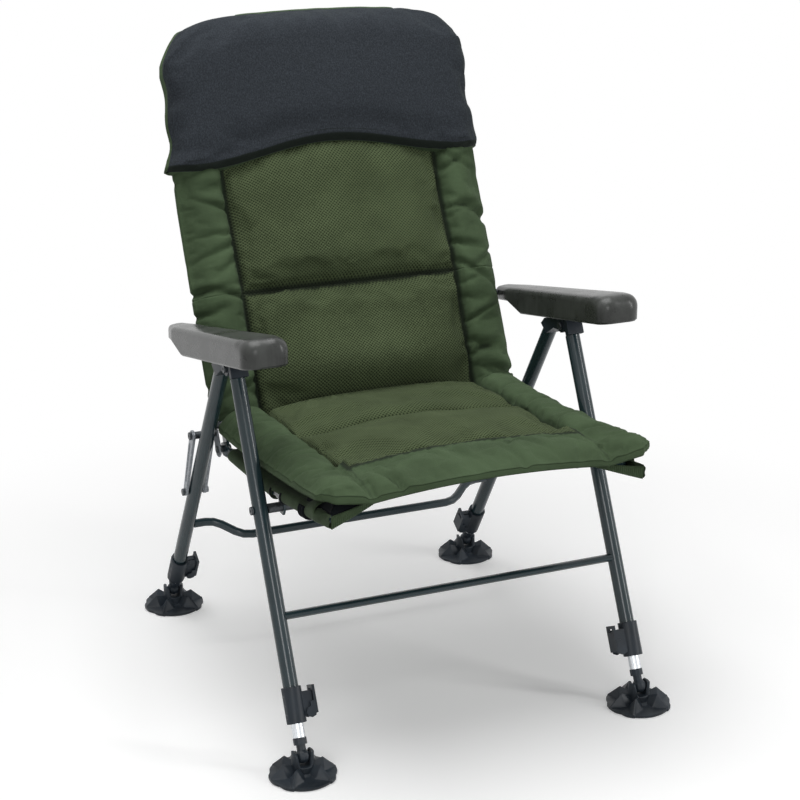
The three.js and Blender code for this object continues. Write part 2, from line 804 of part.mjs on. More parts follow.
// A mud foot: a ribbed round plate with a cup in its middle that holds the ball's cross pin
function footBody(centre) {
  const profile = [
    flat(0, 0),
    flat(footRadius, 0),
    flat(footRadius, footPlate / 2),
    flat(footRadius - footPlate, footPlate),
    flat(cupRadius, footDome),
    flat(cupRadius, cupTop),
    flat(0, cupTop),
  ];
  const dish = new THREE.LatheGeometry(profile, footFlats);
  dish.rotateX(Math.PI / 2);
  dish.translate(centre.x, centre.y, 0);
  const corners = [
    [cupRadius / 2, -lugHalf, footPlate / 2],
    [cupRadius / 2, lugHalf, footPlate / 2],
    [footRadius - footPlate, -lugHalf, footPlate / 2],
    [footRadius - footPlate, lugHalf, footPlate / 2],
    [footRadius - cupRadius, 0, lugHeight],
    [cupRadius / 2, 0, lugHeight],
  ];
  const turns = [...lugTurns.map((turn) => -turn), ...lugTurns, 180];
  const lugs = turns.map((turn) => {
    const facing = THREE.MathUtils.degToRad(turn) - Math.PI / 2;
    return wasm.Manifold.hull(corners.map(([reach, offset, height]) => [
      centre.x + reach * Math.cos(facing) - offset * Math.sin(facing),
      centre.y + reach * Math.sin(facing) + offset * Math.cos(facing),
      height,
    ]));
  });
  const clearBall = aroundOf(ballRadius, tubeFlats);
  const cavity = bar(
    centre.clone().addScaledVector(up, -ballRadius - seatGap),
    centre.clone().addScaledVector(up, cupTop),
    clearBall,
    tubeFlats,
  );
  const wayHalf = neckRadius + 2 * runningGap;
  const slot = plate([
    flat(centre.y - footRadius, centre.z - ballRadius / 2),
    flat(centre.y + footRadius, centre.z - ballRadius / 2),
    flat(centre.y + footRadius, centre.z + cupTop),
    flat(centre.y - footRadius, centre.z + cupTop),
  ], centre.x - wayHalf, centre.x + wayHalf);
  const pinBore = crossBar(
    flat(centre.y, centre.z),
    centre.x - 2 * cupRadius,
    centre.x + 2 * cupRadius,
    aroundOf(trunnionRadius),
  );
  return without(joined(solidOf(dish), ...lugs), cavity, slot, pinBore);
}

// Seat pivots: a bar that reaches in from each front leg to the seat's tab, and its bolt through the leg
for (const [hand, side] of Object.entries(sides)) {
  const inFace = legPlane - legRadius - seatGap;
  const outFace = legPlane + legRadius + seatGap;
  add(`seat_pivot_${hand}`, turned(
    seatPivot,
    side,
    inFace - pivotBarLength,
    [inFace, pivotBarRadius],
    [outFace, boltRadius],
    [outFace + boltHead, boltHeadRadius],
  ), steel);
}

// Lap hinge of the seat and the back: each tube ends short of it in a flat lug, side by side
const backRise = flat(Math.sin(backLean), Math.cos(backLean));

function lapLug(rise, fromX, toX) {
  const heel = hinge.clone().addScaledVector(rise, lugReach);
  const bore = boltWay(hinge, 2 * fromX - toX, 2 * toX - fromX);
  return without(plate(strap(hinge, lugRadius, heel, lugHeel), fromX, toX), bore);
}

// Seat frame: a U tube with a tab under each rail and a lug at each rear end
const railAt = (y) => {
  const knee = Math.max(y, -seatKneeBack);
  const rear = (hingeBack - knee) / (hingeBack + seatKneeBack) * (seatKneeHeight - hingeHeight);
  const ahead = (knee - y) / (seatFrontReach - seatKneeBack) * (seatFrontHeight - seatKneeHeight);
  return hingeHeight + rear + ahead;
};
const railRise = flat(-hingeBack - seatKneeBack, seatKneeHeight - hingeHeight).normalize();

const mix = (from, to, share) => THREE.MathUtils.lerp(from, to, Math.min(Math.max(share, 0), 1));

// The seat's front bar stands behind and above the rails' front corners
const cornerShare = (x) => (Math.abs(x) - seatBarHalf) / (railPlane - seatBarHalf);
const barHeightAt = (x) => mix(seatBarHeight, seatFrontHeight, cornerShare(x));
const barBackAt = (x) => mix(seatBarSetback, 0, cornerShare(x)) - seatFrontReach;
const barLift = (x, y, margin = 0) => {
  const near = Math.abs(x) - margin;
  const ride = (barBackAt(near) + barCrest + barSlope + 2 * margin - y) / barSlope;
  return mix(0, Math.max(barHeightAt(near) - railAt(y), 0), ride);
};
{
  const railEnd = hinge.clone().addScaledVector(railRise, tubeSetback);
  const half = [
    new THREE.Vector3(railPlane, railEnd.x, railEnd.y),
    new THREE.Vector3(railPlane, -seatKneeBack, seatKneeHeight),
    new THREE.Vector3(railPlane, -seatFrontReach, seatFrontHeight),
    new THREE.Vector3(seatBarHalf, barBackAt(seatBarHalf), seatBarHeight),
  ];
  const corners = [...half, ...half.toReversed().map((p) => new THREE.Vector3(-p.x, p.y, p.z))];
  const frame = pipe(rounded(corners, seatCornerRadius), seatTubeRadius, frameWall, tubeFlats, up);
  const tabs = Object.values(sides).map((side) => {
    const rail = flat(seatPivot.x, railAt(seatPivot.x) - seatTubeRadius + frameWall / 2);
    const drop = plate([
      rail.clone().add(flat(-tabRadius, 0)),
      seatPivot.clone().add(flat(-tabRadius, 0)),
      seatPivot.clone().add(flat(-tabRadius / 2, -tabRadius)),
      seatPivot.clone().add(flat(tabRadius / 2, -tabRadius)),
      seatPivot.clone().add(flat(tabRadius, 0)),
      rail.clone().add(flat(tabRadius, 0)),
    ], side * (railPlane - tabThickness / 2), side * (railPlane + tabThickness / 2));
    const bore = crossBar(
      seatPivot,
      side * (railPlane - pivotBarLength),
      side * (railPlane + pivotBarLength),
      aroundOf(pivotBarRadius),
    );
    return without(drop, bore);
  });
  const lugs = Object.values(sides).map((side) => lapLug(
    railRise,
    side * (railPlane + seatGap),
    side * (railPlane + lapThickness),
  ));
  add('seat_frame', joined(frame, ...tabs, ...lugs), powderCoat);
}

// Back frame: a tall U tube, open at the bottom, with a bore for each armrest's bolt
const backSide = (height, offset = 0) => {
  const lean = backTilt(height);
  return flat(backAt(height) - offset * Math.cos(lean), height + offset * Math.sin(lean));
};
const backPath = () => {
  const foot = hinge.clone().addScaledVector(backRise, tubeSetback);
  const half = [
    new THREE.Vector3(railPlane, foot.x, foot.y),
    new THREE.Vector3(railPlane, backAt(backKneeHeight), backKneeHeight),
    new THREE.Vector3(railPlane - backTopInset, backAt(backTopHeight), backTopHeight),
  ];
  const corners = [...half, ...half.toReversed().map((p) => new THREE.Vector3(-p.x, p.y, p.z))];
  return rounded(corners, backCornerRadius);
};
{
  const blank = pipe(backPath(), backTubeRadius, frameWall, tubeFlats, new THREE.Vector3(0, 1, 0));
  const bores = Object.values(sides).map((side) => boltWay(
    armPivot,
    side * (railPlane - 2 * backTubeRadius),
    side * (railPlane + 2 * backTubeRadius),
  ));
  const lugs = Object.values(sides).map((side) => lapLug(
    backRise,
    side * (railPlane - lapThickness),
    side * (railPlane - seatGap),
  ));
  add('back_frame', joined(without(blank, ...bores), ...lugs), powderCoat);
}

// Hinge plates outside the lap hinge, the hinge bolts, and the bolts that carry the tops of the links
const plateIn = railPlane + backTubeRadius + seatGap;
const plateOut = plateIn + plateThickness;
const linkInner = [legPlane - legRadius - linkStandoff - linkThickness, legPlane - legRadius - linkStandoff];
const linkOuter = [legPlane + legRadius + linkStandoff, legPlane + legRadius + linkStandoff + linkThickness];
for (const [hand, side] of Object.entries(sides)) {
  const outline = strap(hinge, plateRadius, linkTop, plateRadius - linkStandoff);
  const bores = [hinge, linkTop].map((place) => boltWay(
    place,
    side * (plateIn - plateThickness),
    side * (plateOut + plateThickness),
  ));
  add(`hinge_plate_${hand}`, without(plate(outline, side * plateIn, side * plateOut), ...bores), greyPlate);

  const backLugFace = railPlane - lapThickness - seatGap;
  const seatLugFace = railPlane + lapThickness + seatGap;
  add(`seat_hinge_bolt_${hand}`, turned(
    hinge,
    side,
    backLugFace - boltHead,
    [backLugFace, boltHeadRadius],
    [seatLugFace, boltRadius],
    [plateIn - seatGap, spacerRadius],
    [plateOut + seatGap, boltRadius],
    [plateOut + seatGap + boltHead / 2, boltHeadRadius],
  ), steel);
  add(`link_top_bolt_${hand}`, turned(
    linkTop,
    side,
    plateIn + seatGap,
    [plateOut + seatGap, boltRadius],
    [linkInner[0] - seatGap, spacerRadius],
    [linkInner[1] + seatGap, boltRadius],
    [linkOuter[0] - seatGap, spacerRadius],
    [linkOuter[1] + seatGap, boltRadius],
    [linkOuter[1] + seatGap + boltHead, boltHeadRadius],
  ), steel);
}

// Links: tapering bars with a long recess, one inside and one outside each rear leg; the inner one carries
// a boss and a nut at its foot, and the outer one a bolt
for (const [hand, side] of Object.entries(sides)) {
  const legInFace = legPlane - legRadius - seatGap;
  const legOutFace = legPlane + legRadius + seatGap;
  for (const [layer, span] of Object.entries({ inner: linkInner, outer: linkOuter })) {
    const outline = strap(linkTop, linkHeadRadius, linkFoot, linkFootRadius);
    const faceAt = layer === 'outer' ? span[1] : span[0];
    const recess = strap(
      linkTop.clone().lerp(linkFoot, recessShares[0]),
      linkHeadRadius - linkMargin,
      linkTop.clone().lerp(linkFoot, recessShares[1]),
      linkFootRadius - linkMargin,
      recessFlats,
    );
    const hollow = plate(recess, side * (faceAt - linkRecess), side * (faceAt + linkRecess));
    const holes = layer === 'outer' ? [linkTop, linkFoot] : [linkTop];
    const bores = holes.map((place) => boltWay(
      place,
      side * (span[0] - linkThickness),
      side * (span[1] + linkThickness),
    ));
    const bare = without(plate(outline, side * span[0], side * span[1]), hollow, ...bores);
    const nut = turned(
      linkFoot,
      side,
      linkInner[0] - boltHead,
      [linkInner[0] + linkRecess, linkFootRadius - seatGap],
      [legInFace, boltRadius + frameWall],
    );
    add(`link_${layer}_${hand}`, layer === 'outer' ? bare : joined(bare, nut), greyPlate);
  }
  add(`link_foot_bolt_${hand}`, turned(
    linkFoot,
    side,
    legOutFace,
    [linkOuter[0] - seatGap, spacerRadius],
    [linkOuter[1] + seatGap, boltRadius],
    [linkOuter[1] + seatGap + boltHead, boltHeadRadius],
  ), steel);
}

// Armrests: hollow shells, open below, thin at the rear where the pivot bolt enters
const armTop = (y) => armTopAtStep + (armStepRear - y) * Math.tan(armSlope);
const armInner = (y) => (y > armStepRear
  ? mix(armStepInner, armRearInner, (y - armStepRear) / (armRearEnd - armStepRear))
  : mix(armStepInner, armFrontInner, (armStepFront - y) / (armStepFront + armTip)));
const armOuter = (y) => (y > armStepRear
  ? mix(armStepOuter, armRearOuter, (y - armStepRear) / (armRearEnd - armStepRear))
  : mix(armStepOuter, armFrontOuter, (armStepFront - y) / (armStepFront + armTip)));
const armDeep = (y) => mix(armThin, armThick, (armStepRear - y) / (armStepRear - armStepFront));

function armRing(side, y, inset, below) {
  const noseLength = armThick;
  const nose = Math.min(Math.max((-y - armTip + noseLength) / (noseLength - inset), 0), 1);
  const narrow = Math.pow(1 - Math.pow(nose, 3), 1 / 3);
  const fall = armEdgeRound * (1 - Math.sqrt(1 - nose * nose));
  const inner = armInner(y) + inset;
  const outer = armOuter(y) - inset;
  const middle = (inner + outer) / 2;
  const half = (outer - inner) / 2 * Math.max(narrow, noseShare);
  const top = armTop(y) - inset - fall;
  const bottom = armTop(y) - armDeep(y) - below;
  const edge = Math.max(armEdgeRound - inset, armWall) * Math.max(narrow, noseShare);
  const corner = (sign) => [0, 1, 2].map((step) => {
    const angle = Math.PI / 2 * step / 2;
    return [
      middle + sign * (half - edge + edge * Math.cos(angle)),
      top - edge + edge * Math.sin(angle),
    ];
  });
  const outline = [
    [middle + half, bottom],
    ...corner(1),
    ...corner(-1).toReversed(),
    [middle - half, bottom],
  ];
  return outline.map(([x, z]) => new THREE.Vector3(side * x, y, z));
}

const armStations = [...armShares.map((share) => mix(armRearEnd, armThick - armTip, share))];
const noseStations = noseShares.map((share) => -armTip + armThick * (1 - share));
const armPlane = (p) => flat(p.x, p.z);
for (const [hand, side] of Object.entries(sides)) {
  const outside = [armRearEnd, armStepRear, armStepFront, ...armStations.slice(1), ...noseStations]
    .sort((a, b) => b - a);
  const innerNose = noseStations.map((y) => y + armWall * (armTip + y) / armTip);
  const inside = [armStepFront, ...armStations.slice(1), ...innerNose]
    .filter((y) => y <= armStepFront && y > armWall - armTip)
    .sort((a, b) => b - a);
  inside.push(armWall - armTip + runningGap);
  const skin = loft(outside.map((y) => armRing(side, y, 0, 0)), armPlane);
  const hollow = loft(inside.map((y) => armRing(side, y, armWall, armWall)), armPlane);
  const bore = boltWay(armPivot, side * railPlane, side * (armRearOuter - armWall));
  const shell = without(skin, hollow, bore);

  const rackLow = (y) => armTop(y) - armThick + rackInset;
  const rackMiddle = (armInner(legHinge.x) + armOuter(legHinge.x)) / 2;
  const rackRear = legHinge.x + rackRearEnd;
  const rackFront = rackRear - rackFrontEnd;
  const teeth = Array.from({ length: Math.floor(rackFrontEnd / rackNotchPitch) - 1 }, (_, i) => {
    const y = rackRear - rackNotchPitch * (i + 1);
    return [
      flat(y + rackNotch / 2, rackLow(y + rackNotch / 2)),
      flat(y, rackLow(y) + rackNotch / 2),
      flat(y - rackNotch / 2, rackLow(y - rackNotch / 2)),
    ];
  });
  const rackOutline = [
    flat(rackRear, armTop(rackRear) - armWall / 2),
    flat(rackRear, rackLow(rackRear)),
    ...teeth.flat(),
    flat(rackFront, rackLow(rackFront)),
    flat(rackFront, armTop(rackFront) - armWall / 2),
  ];
  const rack = plate(rackOutline, side * (rackMiddle - rackWidth / 2), side * (rackMiddle + rackWidth / 2));
  add(`armrest_${hand}`, joined(shell, rack), armPlastic);

  const backTubeFace = railPlane + backTubeRadius + seatGap;
  add(`armrest_pivot_bolt_${hand}`, turned(
    armPivot,
    side,
    railPlane - backTubeRadius - seatGap - boltHead,
    [railPlane - backTubeRadius - seatGap, boltHeadRadius],
    [backTubeFace, boltRadius],
    [armInner(armPivot.x - spacerRadius) - seatGap, spacerRadius],
    [armRearOuter - boltHead, boltRadius],
  ), steel);
}
// Slings: a sheet over the rails that hooks round their outer sides
const hookTurns = [2, 1, 0, -1, -2].map((step) => 2 * Math.PI * step / hookFlats);
const slingReach = (radius) => (radius + slingGap) / Math.cos(Math.PI / hookFlats);

function slingRing(radius, put, lift = () => 0) {
  const hook = (reach) => [
    ...hookTurns.map((angle) => [railPlane + reach * Math.cos(angle), reach * Math.sin(angle)]),
    [railPlane - hookReturn, -reach],
  ];
  const mirrored = (points) => points.map(([x, n]) => [-x, n]);
  const inner = hook(slingReach(radius));
  const outer = hook(slingReach(radius) + slingThickness);
  const span = slingShares.map((share) => railPlane * share);
  const level = (reach) => span.map((x) => [x, reach + lift(x)]);
  const loop = [
    ...outer,
    ...inner.toReversed(),
    ...level(slingReach(radius)),
    ...mirrored(inner),
    ...mirrored(outer.toReversed()),
    ...level(slingReach(radius) + slingThickness).toReversed(),
  ];
  return loop.map(([x, n]) => put(x, n));
}
{
  const barRear = barBackAt(0) + barCrest + 2 * slingMargin;
  const barFold = mix(barRear, -slingFront, 0.5);
  const stations = [slingRear, -seatKneeBack, barRear + barSlope, barRear, barFold, -slingFront];
  const rings = stations.map((y) => slingRing(
    seatTubeRadius,
    (x, n) => new THREE.Vector3(x, y, railAt(y) + n),
    (x) => barLift(x, y, slingMargin),
  ));
  const sheet = loft(rings, (p) => flat(p.x, p.z));
  const notches = Object.values(sides).map((side) => plate([
    flat(seatPivot.x - notchHalf, seatPivot.y - notchHalf),
    flat(seatPivot.x + notchHalf, seatPivot.y - notchHalf),
    flat(seatPivot.x + notchHalf, railAt(seatPivot.x) + seatTubeRadius / 2),
    flat(seatPivot.x - notchHalf, railAt(seatPivot.x) + seatTubeRadius / 2),
  ], side * (railPlane - pivotBarLength), side * (railPlane + pivotBarLength)));
  add('seat_sling', without(sheet, ...notches), greenCloth);
}
{
  const bends = [-1, 0, 1].map((end) => backKneeHeight + end * backKneeEase);
  const rings = [backSlingLow, ...bends, backSlingTop].map((z) => slingRing(backTubeRadius, (x, n) => {
    const place = backSide(z, n);
    return new THREE.Vector3(x, place.x, place.y);
  }));
  const sheet = loft(rings, (p) => flat(p.x, -p.y));
  const eyelets = Object.values(sides).map((side) => crossBar(
    armPivot,
    side * railPlane,
    side * (railPlane + pivotBarLength),
    spacerRadius + slingThickness,
  ));
  add('back_sling', without(sheet, ...eyelets), greenCloth);
}

// Mattress sections: a grid of crowned cells over a base, with a panel seam at each side and a boxing strip
function padded({ rows, columns, halfWidth, base, top, put }) {
  const places = [...columns.toReversed().map((share) => -share), ...columns.slice(1)];
  const upper = rows.map((v) => places.map((u) => put(u * halfWidth(v), v, top(u * halfWidth(v), v))));
  const lower = rows.map((v) => places.map((u) => put(u * halfWidth(v), v, base(u * halfWidth(v), v))));
  const count = places.length;
  const points = [...upper.flat(), ...lower.flat()];
  const shift = rows.length * count;
  const faces = [];
  for (let r = 0; r + 1 < rows.length; r += 1) {
    for (let c = 0; c + 1 < count; c += 1) {
      const a = r * count + c;
      const b = a + count;
      faces.push(a, a + 1, b + 1, a, b + 1, b);
      faces.push(a + shift, b + 1 + shift, a + 1 + shift, a + shift, b + shift, b + 1 + shift);
    }
  }
  const rim = [];
  for (let c = 0; c < count - 1; c += 1) {
    rim.push(c);
  }
  for (let r = 0; r < rows.length - 1; r += 1) {
    rim.push(r * count + count - 1);
  }
  for (let c = count - 1; c > 0; c -= 1) {
    rim.push((rows.length - 1) * count + c);
  }
  for (let r = rows.length - 1; r > 0; r -= 1) {
    rim.push(r * count);
  }
  rim.forEach((a, i) => {
    const b = rim[(i + 1) % rim.length];
    faces.push(a, b + shift, b, a, a + shift, b + shift);
  });
  return bodyOf(points, faces);
}
const panelSeam = (x) => seamDepth * dip(Math.abs(Math.abs(x) - seamHalfWidth));
const evenRows = (count) => Array.from({ length: count + 1 }, (_, i) => i / count);
const bump = (share, power) => 1 - Math.pow(Math.abs(2 * share - 1), power);
const dip = (distance) => Math.exp(-Math.pow(distance / seamDepth, 2));
const endDips = (length, v) => seamDepth * (dip(Math.abs(length) * v) + dip(Math.abs(length) * (1 - v)));

// Height of a mattress's top above its seams: a full panel, and a bolster that falls to the edge
function crown(x, halfWidth, seamHeight, edgeHeight, lengthwise) {
  const a = Math.abs(x);
  if (a < seamHalfWidth) {
    return seamHeight + seatPanelCrown * (1 - Math.pow(a / seamHalfWidth, 4)) * lengthwise;
  }
  const share = (a - seamHalfWidth) / (halfWidth - seamHalfWidth);
  const fullness = Math.max(lengthwise, bolsterEndShare);
  return mix(seamHeight, edgeHeight, share) + bolsterCrown * bump(share, 2) * fullness;
}

// The seat's edge line and front line, as they rise to the front corners
const seatEdgeShare = (y) => Math.pow((seatRearEdge - y) / (seatRearEdge - seatFrontEdge), padEdgePower);
const seatEdge = (y) => mix(padEdgeRear, padEdgeFront, seatEdgeShare(y));
const frontWave = (x) => {
  const a = Math.abs(x) / seamHalfWidth;
  if (a < 1) {
    return padEdgeFront - waveDrop * a * a;
  }
  return mix(padEdgeFront - waveDrop, padEdgeFront, (a - 1) / waveRunShare);
};
const seatSeam = (y) => mix(seamRear, seamFront, (seatSeamRear - y) / (seatSeamRear - frontSeam));
const frontSeamAt = (x) => frontSeam - frontSeamBow * (1 - Math.pow(Math.abs(x) / seamHalfWidth, 2));
function seatTop(x, y) {
  const share = y > seatSplit
    ? (seatRearEdge - y) / (seatRearEdge - seatSplit)
    : (seatSplit - y) / (seatSplit - frontSeamAt(x));
  const lengthwise = Math.max(bump(share, panelPower), 0);
  const seamHeight = seatSeam(Math.max(y, frontSeam));
  const whole = crown(x, padHalfWidth, seamHeight, seatEdge(y), lengthwise);
  if (y >= frontSeamAt(x)) {
    return whole;
  }
  const ahead = Math.min((frontSeamAt(x) - y) / (frontSeamAt(x) - seatFrontEdge), 1);
  return mix(seamHeight, frontWave(x), ahead * ahead) + bolsterCrown * bump(ahead, 2);
}
function seatBase(x, y) {
  const flatSling = railAt(y) + slingReach(seatTubeRadius) + slingThickness + seatGap;
  const low = flatSling + barLift(x, y, barMargin);
  const outwards = Math.pow(Math.abs(x) / padHalfWidth, baseEdgePower);
  const sideways = mix(low, seatEdge(y) - boxing, outwards);
  const ahead = Math.max((frontSeam - y) / (frontSeam - seatFrontEdge), 0);
  const whole = mix(sideways, frontWave(x) - boxing, Math.pow(ahead, 3));
  return y > -slingFront - barMargin ? Math.max(whole, low) : whole;
}
for (const [name, from, to, count] of [
  ['seat_cushion_rear', seatRearEdge, seatSplit + padGap / 2, 7],
  ['seat_cushion_front', seatSplit - padGap / 2, seatFrontEdge, 15],
]) {
  const yAt = (v) => mix(from, to, v);
  const endDip = (v) => endDips(from - to, v);
  add(name, padded({
    rows: evenRows(count),
    columns: padShares,
    halfWidth: () => padHalfWidth,
    base: (x, v) => seatBase(x, yAt(v)),
    top: (x, v) => Math.max(
      seatTop(x, yAt(v)) - panelSeam(x) - endDip(v),
      seatBase(x, yAt(v)) + boxing,
    ),
    put: (x, v, z) => new THREE.Vector3(x, yAt(v), z),
  }), meshCloth);
}

// The back mattress stands on the back sling, its side edges drooping past the tubes
const backShare = (z) => (z - backPadLow) / (headLow - backPadLow);
const backEdge = (z) => mix(backEdgeLow, backEdgeHigh, Math.sqrt(backShare(z)));
const backBase = (x, z) => {
  const over = slingReach(backTubeRadius) + slingThickness + seatGap;
  const past = railPlane + over;
  return mix(over, backEdge(z) - boxing, (Math.abs(x) - past) / (padHalfWidth - past));
};
function backTop(x, z, lengthwise) {
  const seamHeight = z < backPadSplit
    ? mix(backSeamLow, backSeamMiddle, (z - backPadLow) / (backPadSplit - backPadLow))
    : mix(backSeamMiddle, backSeamHigh, (z - backPadSplit) / (headLow - backPadSplit));
  return crown(x, padHalfWidth, seamHeight, backEdge(z), lengthwise);
}
const headArchAt = (x) => headArch * (1 - Math.pow(x / headHalfWidth, 2));
for (const [name, from, to, arch, count] of [
  ['back_cushion_lower', backPadLow, backPadSplit - padGap / 2, 0, 9],
  ['back_cushion_upper', backPadSplit + padGap / 2, headLow - padGap, 1, 9],
]) {
  const zAt = (v) => mix(from, to, v);
  const endDip = (v) => endDips(from - to, v);
  add(name, padded({
    rows: evenRows(count),
    columns: padShares,
    halfWidth: () => padHalfWidth,
    base: (x, v) => backBase(x, zAt(v)),
    top: (x, v) => Math.max(
      backTop(x, zAt(v), bump(v, panelPower)) - panelSeam(x) - endDip(v),
      backBase(x, zAt(v)) + padLeast,
    ),
    put: (x, v, n) => {
      const place = backSide(zAt(v) + v * v * arch * headArchAt(x), n);
      return new THREE.Vector3(x, place.x, place.y);
    },
  }), meshCloth);
}

// Headrest: a padded cap pulled over the top of the back frame
{
  const outline = (v) => {
    const z = mix(headLow, headTop, v);
    const short = Math.max(z - (headTop - headCornerRadius), 0) / headCornerRadius;
    return headHalfWidth * mix(1, headTopShare, short * short * short);
  };
  const lowLine = (x, v) => (1 - v) * headArchAt(x);
  const cap = padded({
    rows: headRowShares,
    columns: headShares,
    halfWidth: outline,
    base: (x, v) => {
      const sideFall = Math.sqrt(Math.max(1 - Math.pow(x / outline(v), headEdgePower), 0));
      return -headBack * sideFall * (1 - Math.pow(v, headEdgePower));
    },
    top: (x, v) => {
      const edge = 1 - Math.pow(Math.abs(x) / outline(v), headEdgePower / 2);
      const topFall = Math.sqrt(Math.max(1 - Math.pow(v, headEdgePower / 2), 0));
      return headEdge + (headThickness - headEdge) * Math.sqrt(Math.max(edge, 0)) * topFall;
    },
    put: (x, v, n) => {
      const place = backSide(mix(headLow, headTop, v) + lowLine(x, v), n);
      return new THREE.Vector3(x, place.x, place.y);
    },
  });
  const tube = rod(backPath(), aroundOf(backTubeRadius, tubeFlats), tubeFlats, new THREE.Vector3(0, 1, 0));
  add('headrest', without(cap, tube), headCloth);
}

export default chair;
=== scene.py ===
"""Finish of a folding high-backed chair: mattresses, slings, tubes, armrests, feet and their materials.

Metres, +X to the sitter's left, -Y to the front, +Z up, with the ground at height 0.
"""

import json
import math

import bmesh
import bpy
import numpy as np
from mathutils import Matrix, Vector


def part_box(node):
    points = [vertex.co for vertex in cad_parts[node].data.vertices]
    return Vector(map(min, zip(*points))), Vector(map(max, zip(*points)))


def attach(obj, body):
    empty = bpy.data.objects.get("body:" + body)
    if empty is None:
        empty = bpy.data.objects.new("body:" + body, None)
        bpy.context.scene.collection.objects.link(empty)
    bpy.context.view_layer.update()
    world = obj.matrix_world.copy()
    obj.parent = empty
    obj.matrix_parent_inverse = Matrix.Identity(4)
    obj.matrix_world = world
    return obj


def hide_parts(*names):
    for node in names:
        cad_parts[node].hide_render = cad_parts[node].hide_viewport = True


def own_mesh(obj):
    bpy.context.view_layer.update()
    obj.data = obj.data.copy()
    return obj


bl_info = {
    "name": "Carp Fishing Chair Finish",
    "version": (1, 0, 0),
    "blender": (4, 5, 0),
    "location": "View3D > Sidebar > Chair",
    "description": "Mattresses, slings, tubes, armrests and feet of a folding chair, with their materials",
    "category": "Object",
}

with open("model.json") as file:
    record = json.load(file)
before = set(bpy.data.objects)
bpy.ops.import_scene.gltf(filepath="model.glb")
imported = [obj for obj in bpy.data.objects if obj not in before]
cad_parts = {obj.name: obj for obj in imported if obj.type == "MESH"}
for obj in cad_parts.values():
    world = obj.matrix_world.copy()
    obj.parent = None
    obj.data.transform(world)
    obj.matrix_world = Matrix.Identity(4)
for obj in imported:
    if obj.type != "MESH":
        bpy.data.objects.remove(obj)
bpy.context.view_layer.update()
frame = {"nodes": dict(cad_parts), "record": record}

SIDES = {"left": -1.0, "right": 1.0}
ENDS = ("front", "rear")
PI = math.pi

# Places of the frame, as in the packed solids
LEG_PLANE = 0.306
BALL_HEIGHT = 0.035
LEG_BALL = {"front": -0.354, "rear": 0.345}
LEG_LEAN = {"front": math.radians(26.6), "rear": math.radians(-32.5)}
LEG_TOP = {"front": 0.612, "rear": 0.640}
CLAMP_FOOT = {"front": 0.052, "rear": 0.038}
RAIL_PLANE = 0.268
HINGE = (0.114, 0.391)
SEAT_KNEE = (-0.134, 0.405)
SEAT_FRONT = (-0.398, 0.447)
SEAT_PIVOT = (-0.17623, 0.390)
LEG_HINGE = (-0.06357, 0.597)
LINK_TOP = (0.126, 0.418)
ARM_PIVOT = (0.20219, 0.588)
BACK_LEAN = math.atan2(ARM_PIVOT[0] - HINGE[0], ARM_PIVOT[1] - HINGE[1])
BACK_KNEE = 0.775
BACK_KNEE_EASE = 0.040
BACK_UPPER = math.radians(19.5)
PAD_HALF = 0.288
PANEL_HALF = 0.204
SEAT_REAR_EDGE = 0.084
SEAT_SPLIT = -0.062
SEAT_FRONT_EDGE = -0.404
BACK_LOW = 0.448
BACK_TUCK = 0.031
BACK_SPLIT = 0.630
HEAD_LOW = 0.842
HEAD_TOP = 1.094
BOXING = 0.012
BAR_HALF = 0.180
BAR_SETBACK = 0.062
BAR_HEIGHT = 0.470
BAR_CREST = 0.034
BAR_SLOPE = 0.040
ARM_SLOPE = math.tan(math.radians(12.4))
ARM_REAR, ARM_TIP = 0.215, -0.245
ARM_STEP = (0.154, 0.099)
TUBE_IN_CLAMP = 0.020
INNER_FOOT = 0.0293
SEAT_SLING_SPAN = (0.066, -0.352)
BACK_SLING_SPAN = (0.440, 0.830)
SLING_FACES = (0.0022, 0.0006)

# What holds the padding: how near to an edge counts as the edge, and how deep in a seam counts as stitched
EDGE_REACH = 0.002
STITCHED = 0.85


# Sizes and colours that a user would change


def number_of(name, text, value, unit="NONE"):
    """A number that the panel shows."""
    return bpy.props.FloatProperty(name=name, description=text, default=value, unit=unit)


def length_of(name, text, value):
    """A length in metres."""
    return number_of(name, text, value, "LENGTH")


def colour_of(name, text, value):
    """A colour, as linear red, green and blue."""
    return bpy.props.FloatVectorProperty(
        name=name, description=text, default=value, subtype="COLOR", min=0, max=1
    )


class ChairTubes(bpy.types.PropertyGroup):
    """Tubes and bolts"""

    leg_radius: length_of("Leg radius", "Outside radius of the leg tubes", 0.0125)
    inner_radius: length_of("Inner leg radius", "Outside radius of the telescopic legs", 0.010)
    seat_radius: length_of("Seat tube radius", "Outside radius of the seat frame", 0.010)
    back_radius: length_of("Back tube radius", "Outside radius of the back frame", 0.011)
    wall: length_of("Wall", "Wall thickness of the tubes", 0.0015)
    coat_colour: colour_of("Powder coat", "Colour of the coated tubes", (0.014, 0.030, 0.036))
    coat_fleck: colour_of("Coat fleck", "Colour of the coat's fine flecks", (0.040, 0.066, 0.076))
    bright_colour: colour_of("Bright tube", "Colour of the telescopic legs", (0.80, 0.83, 0.86))


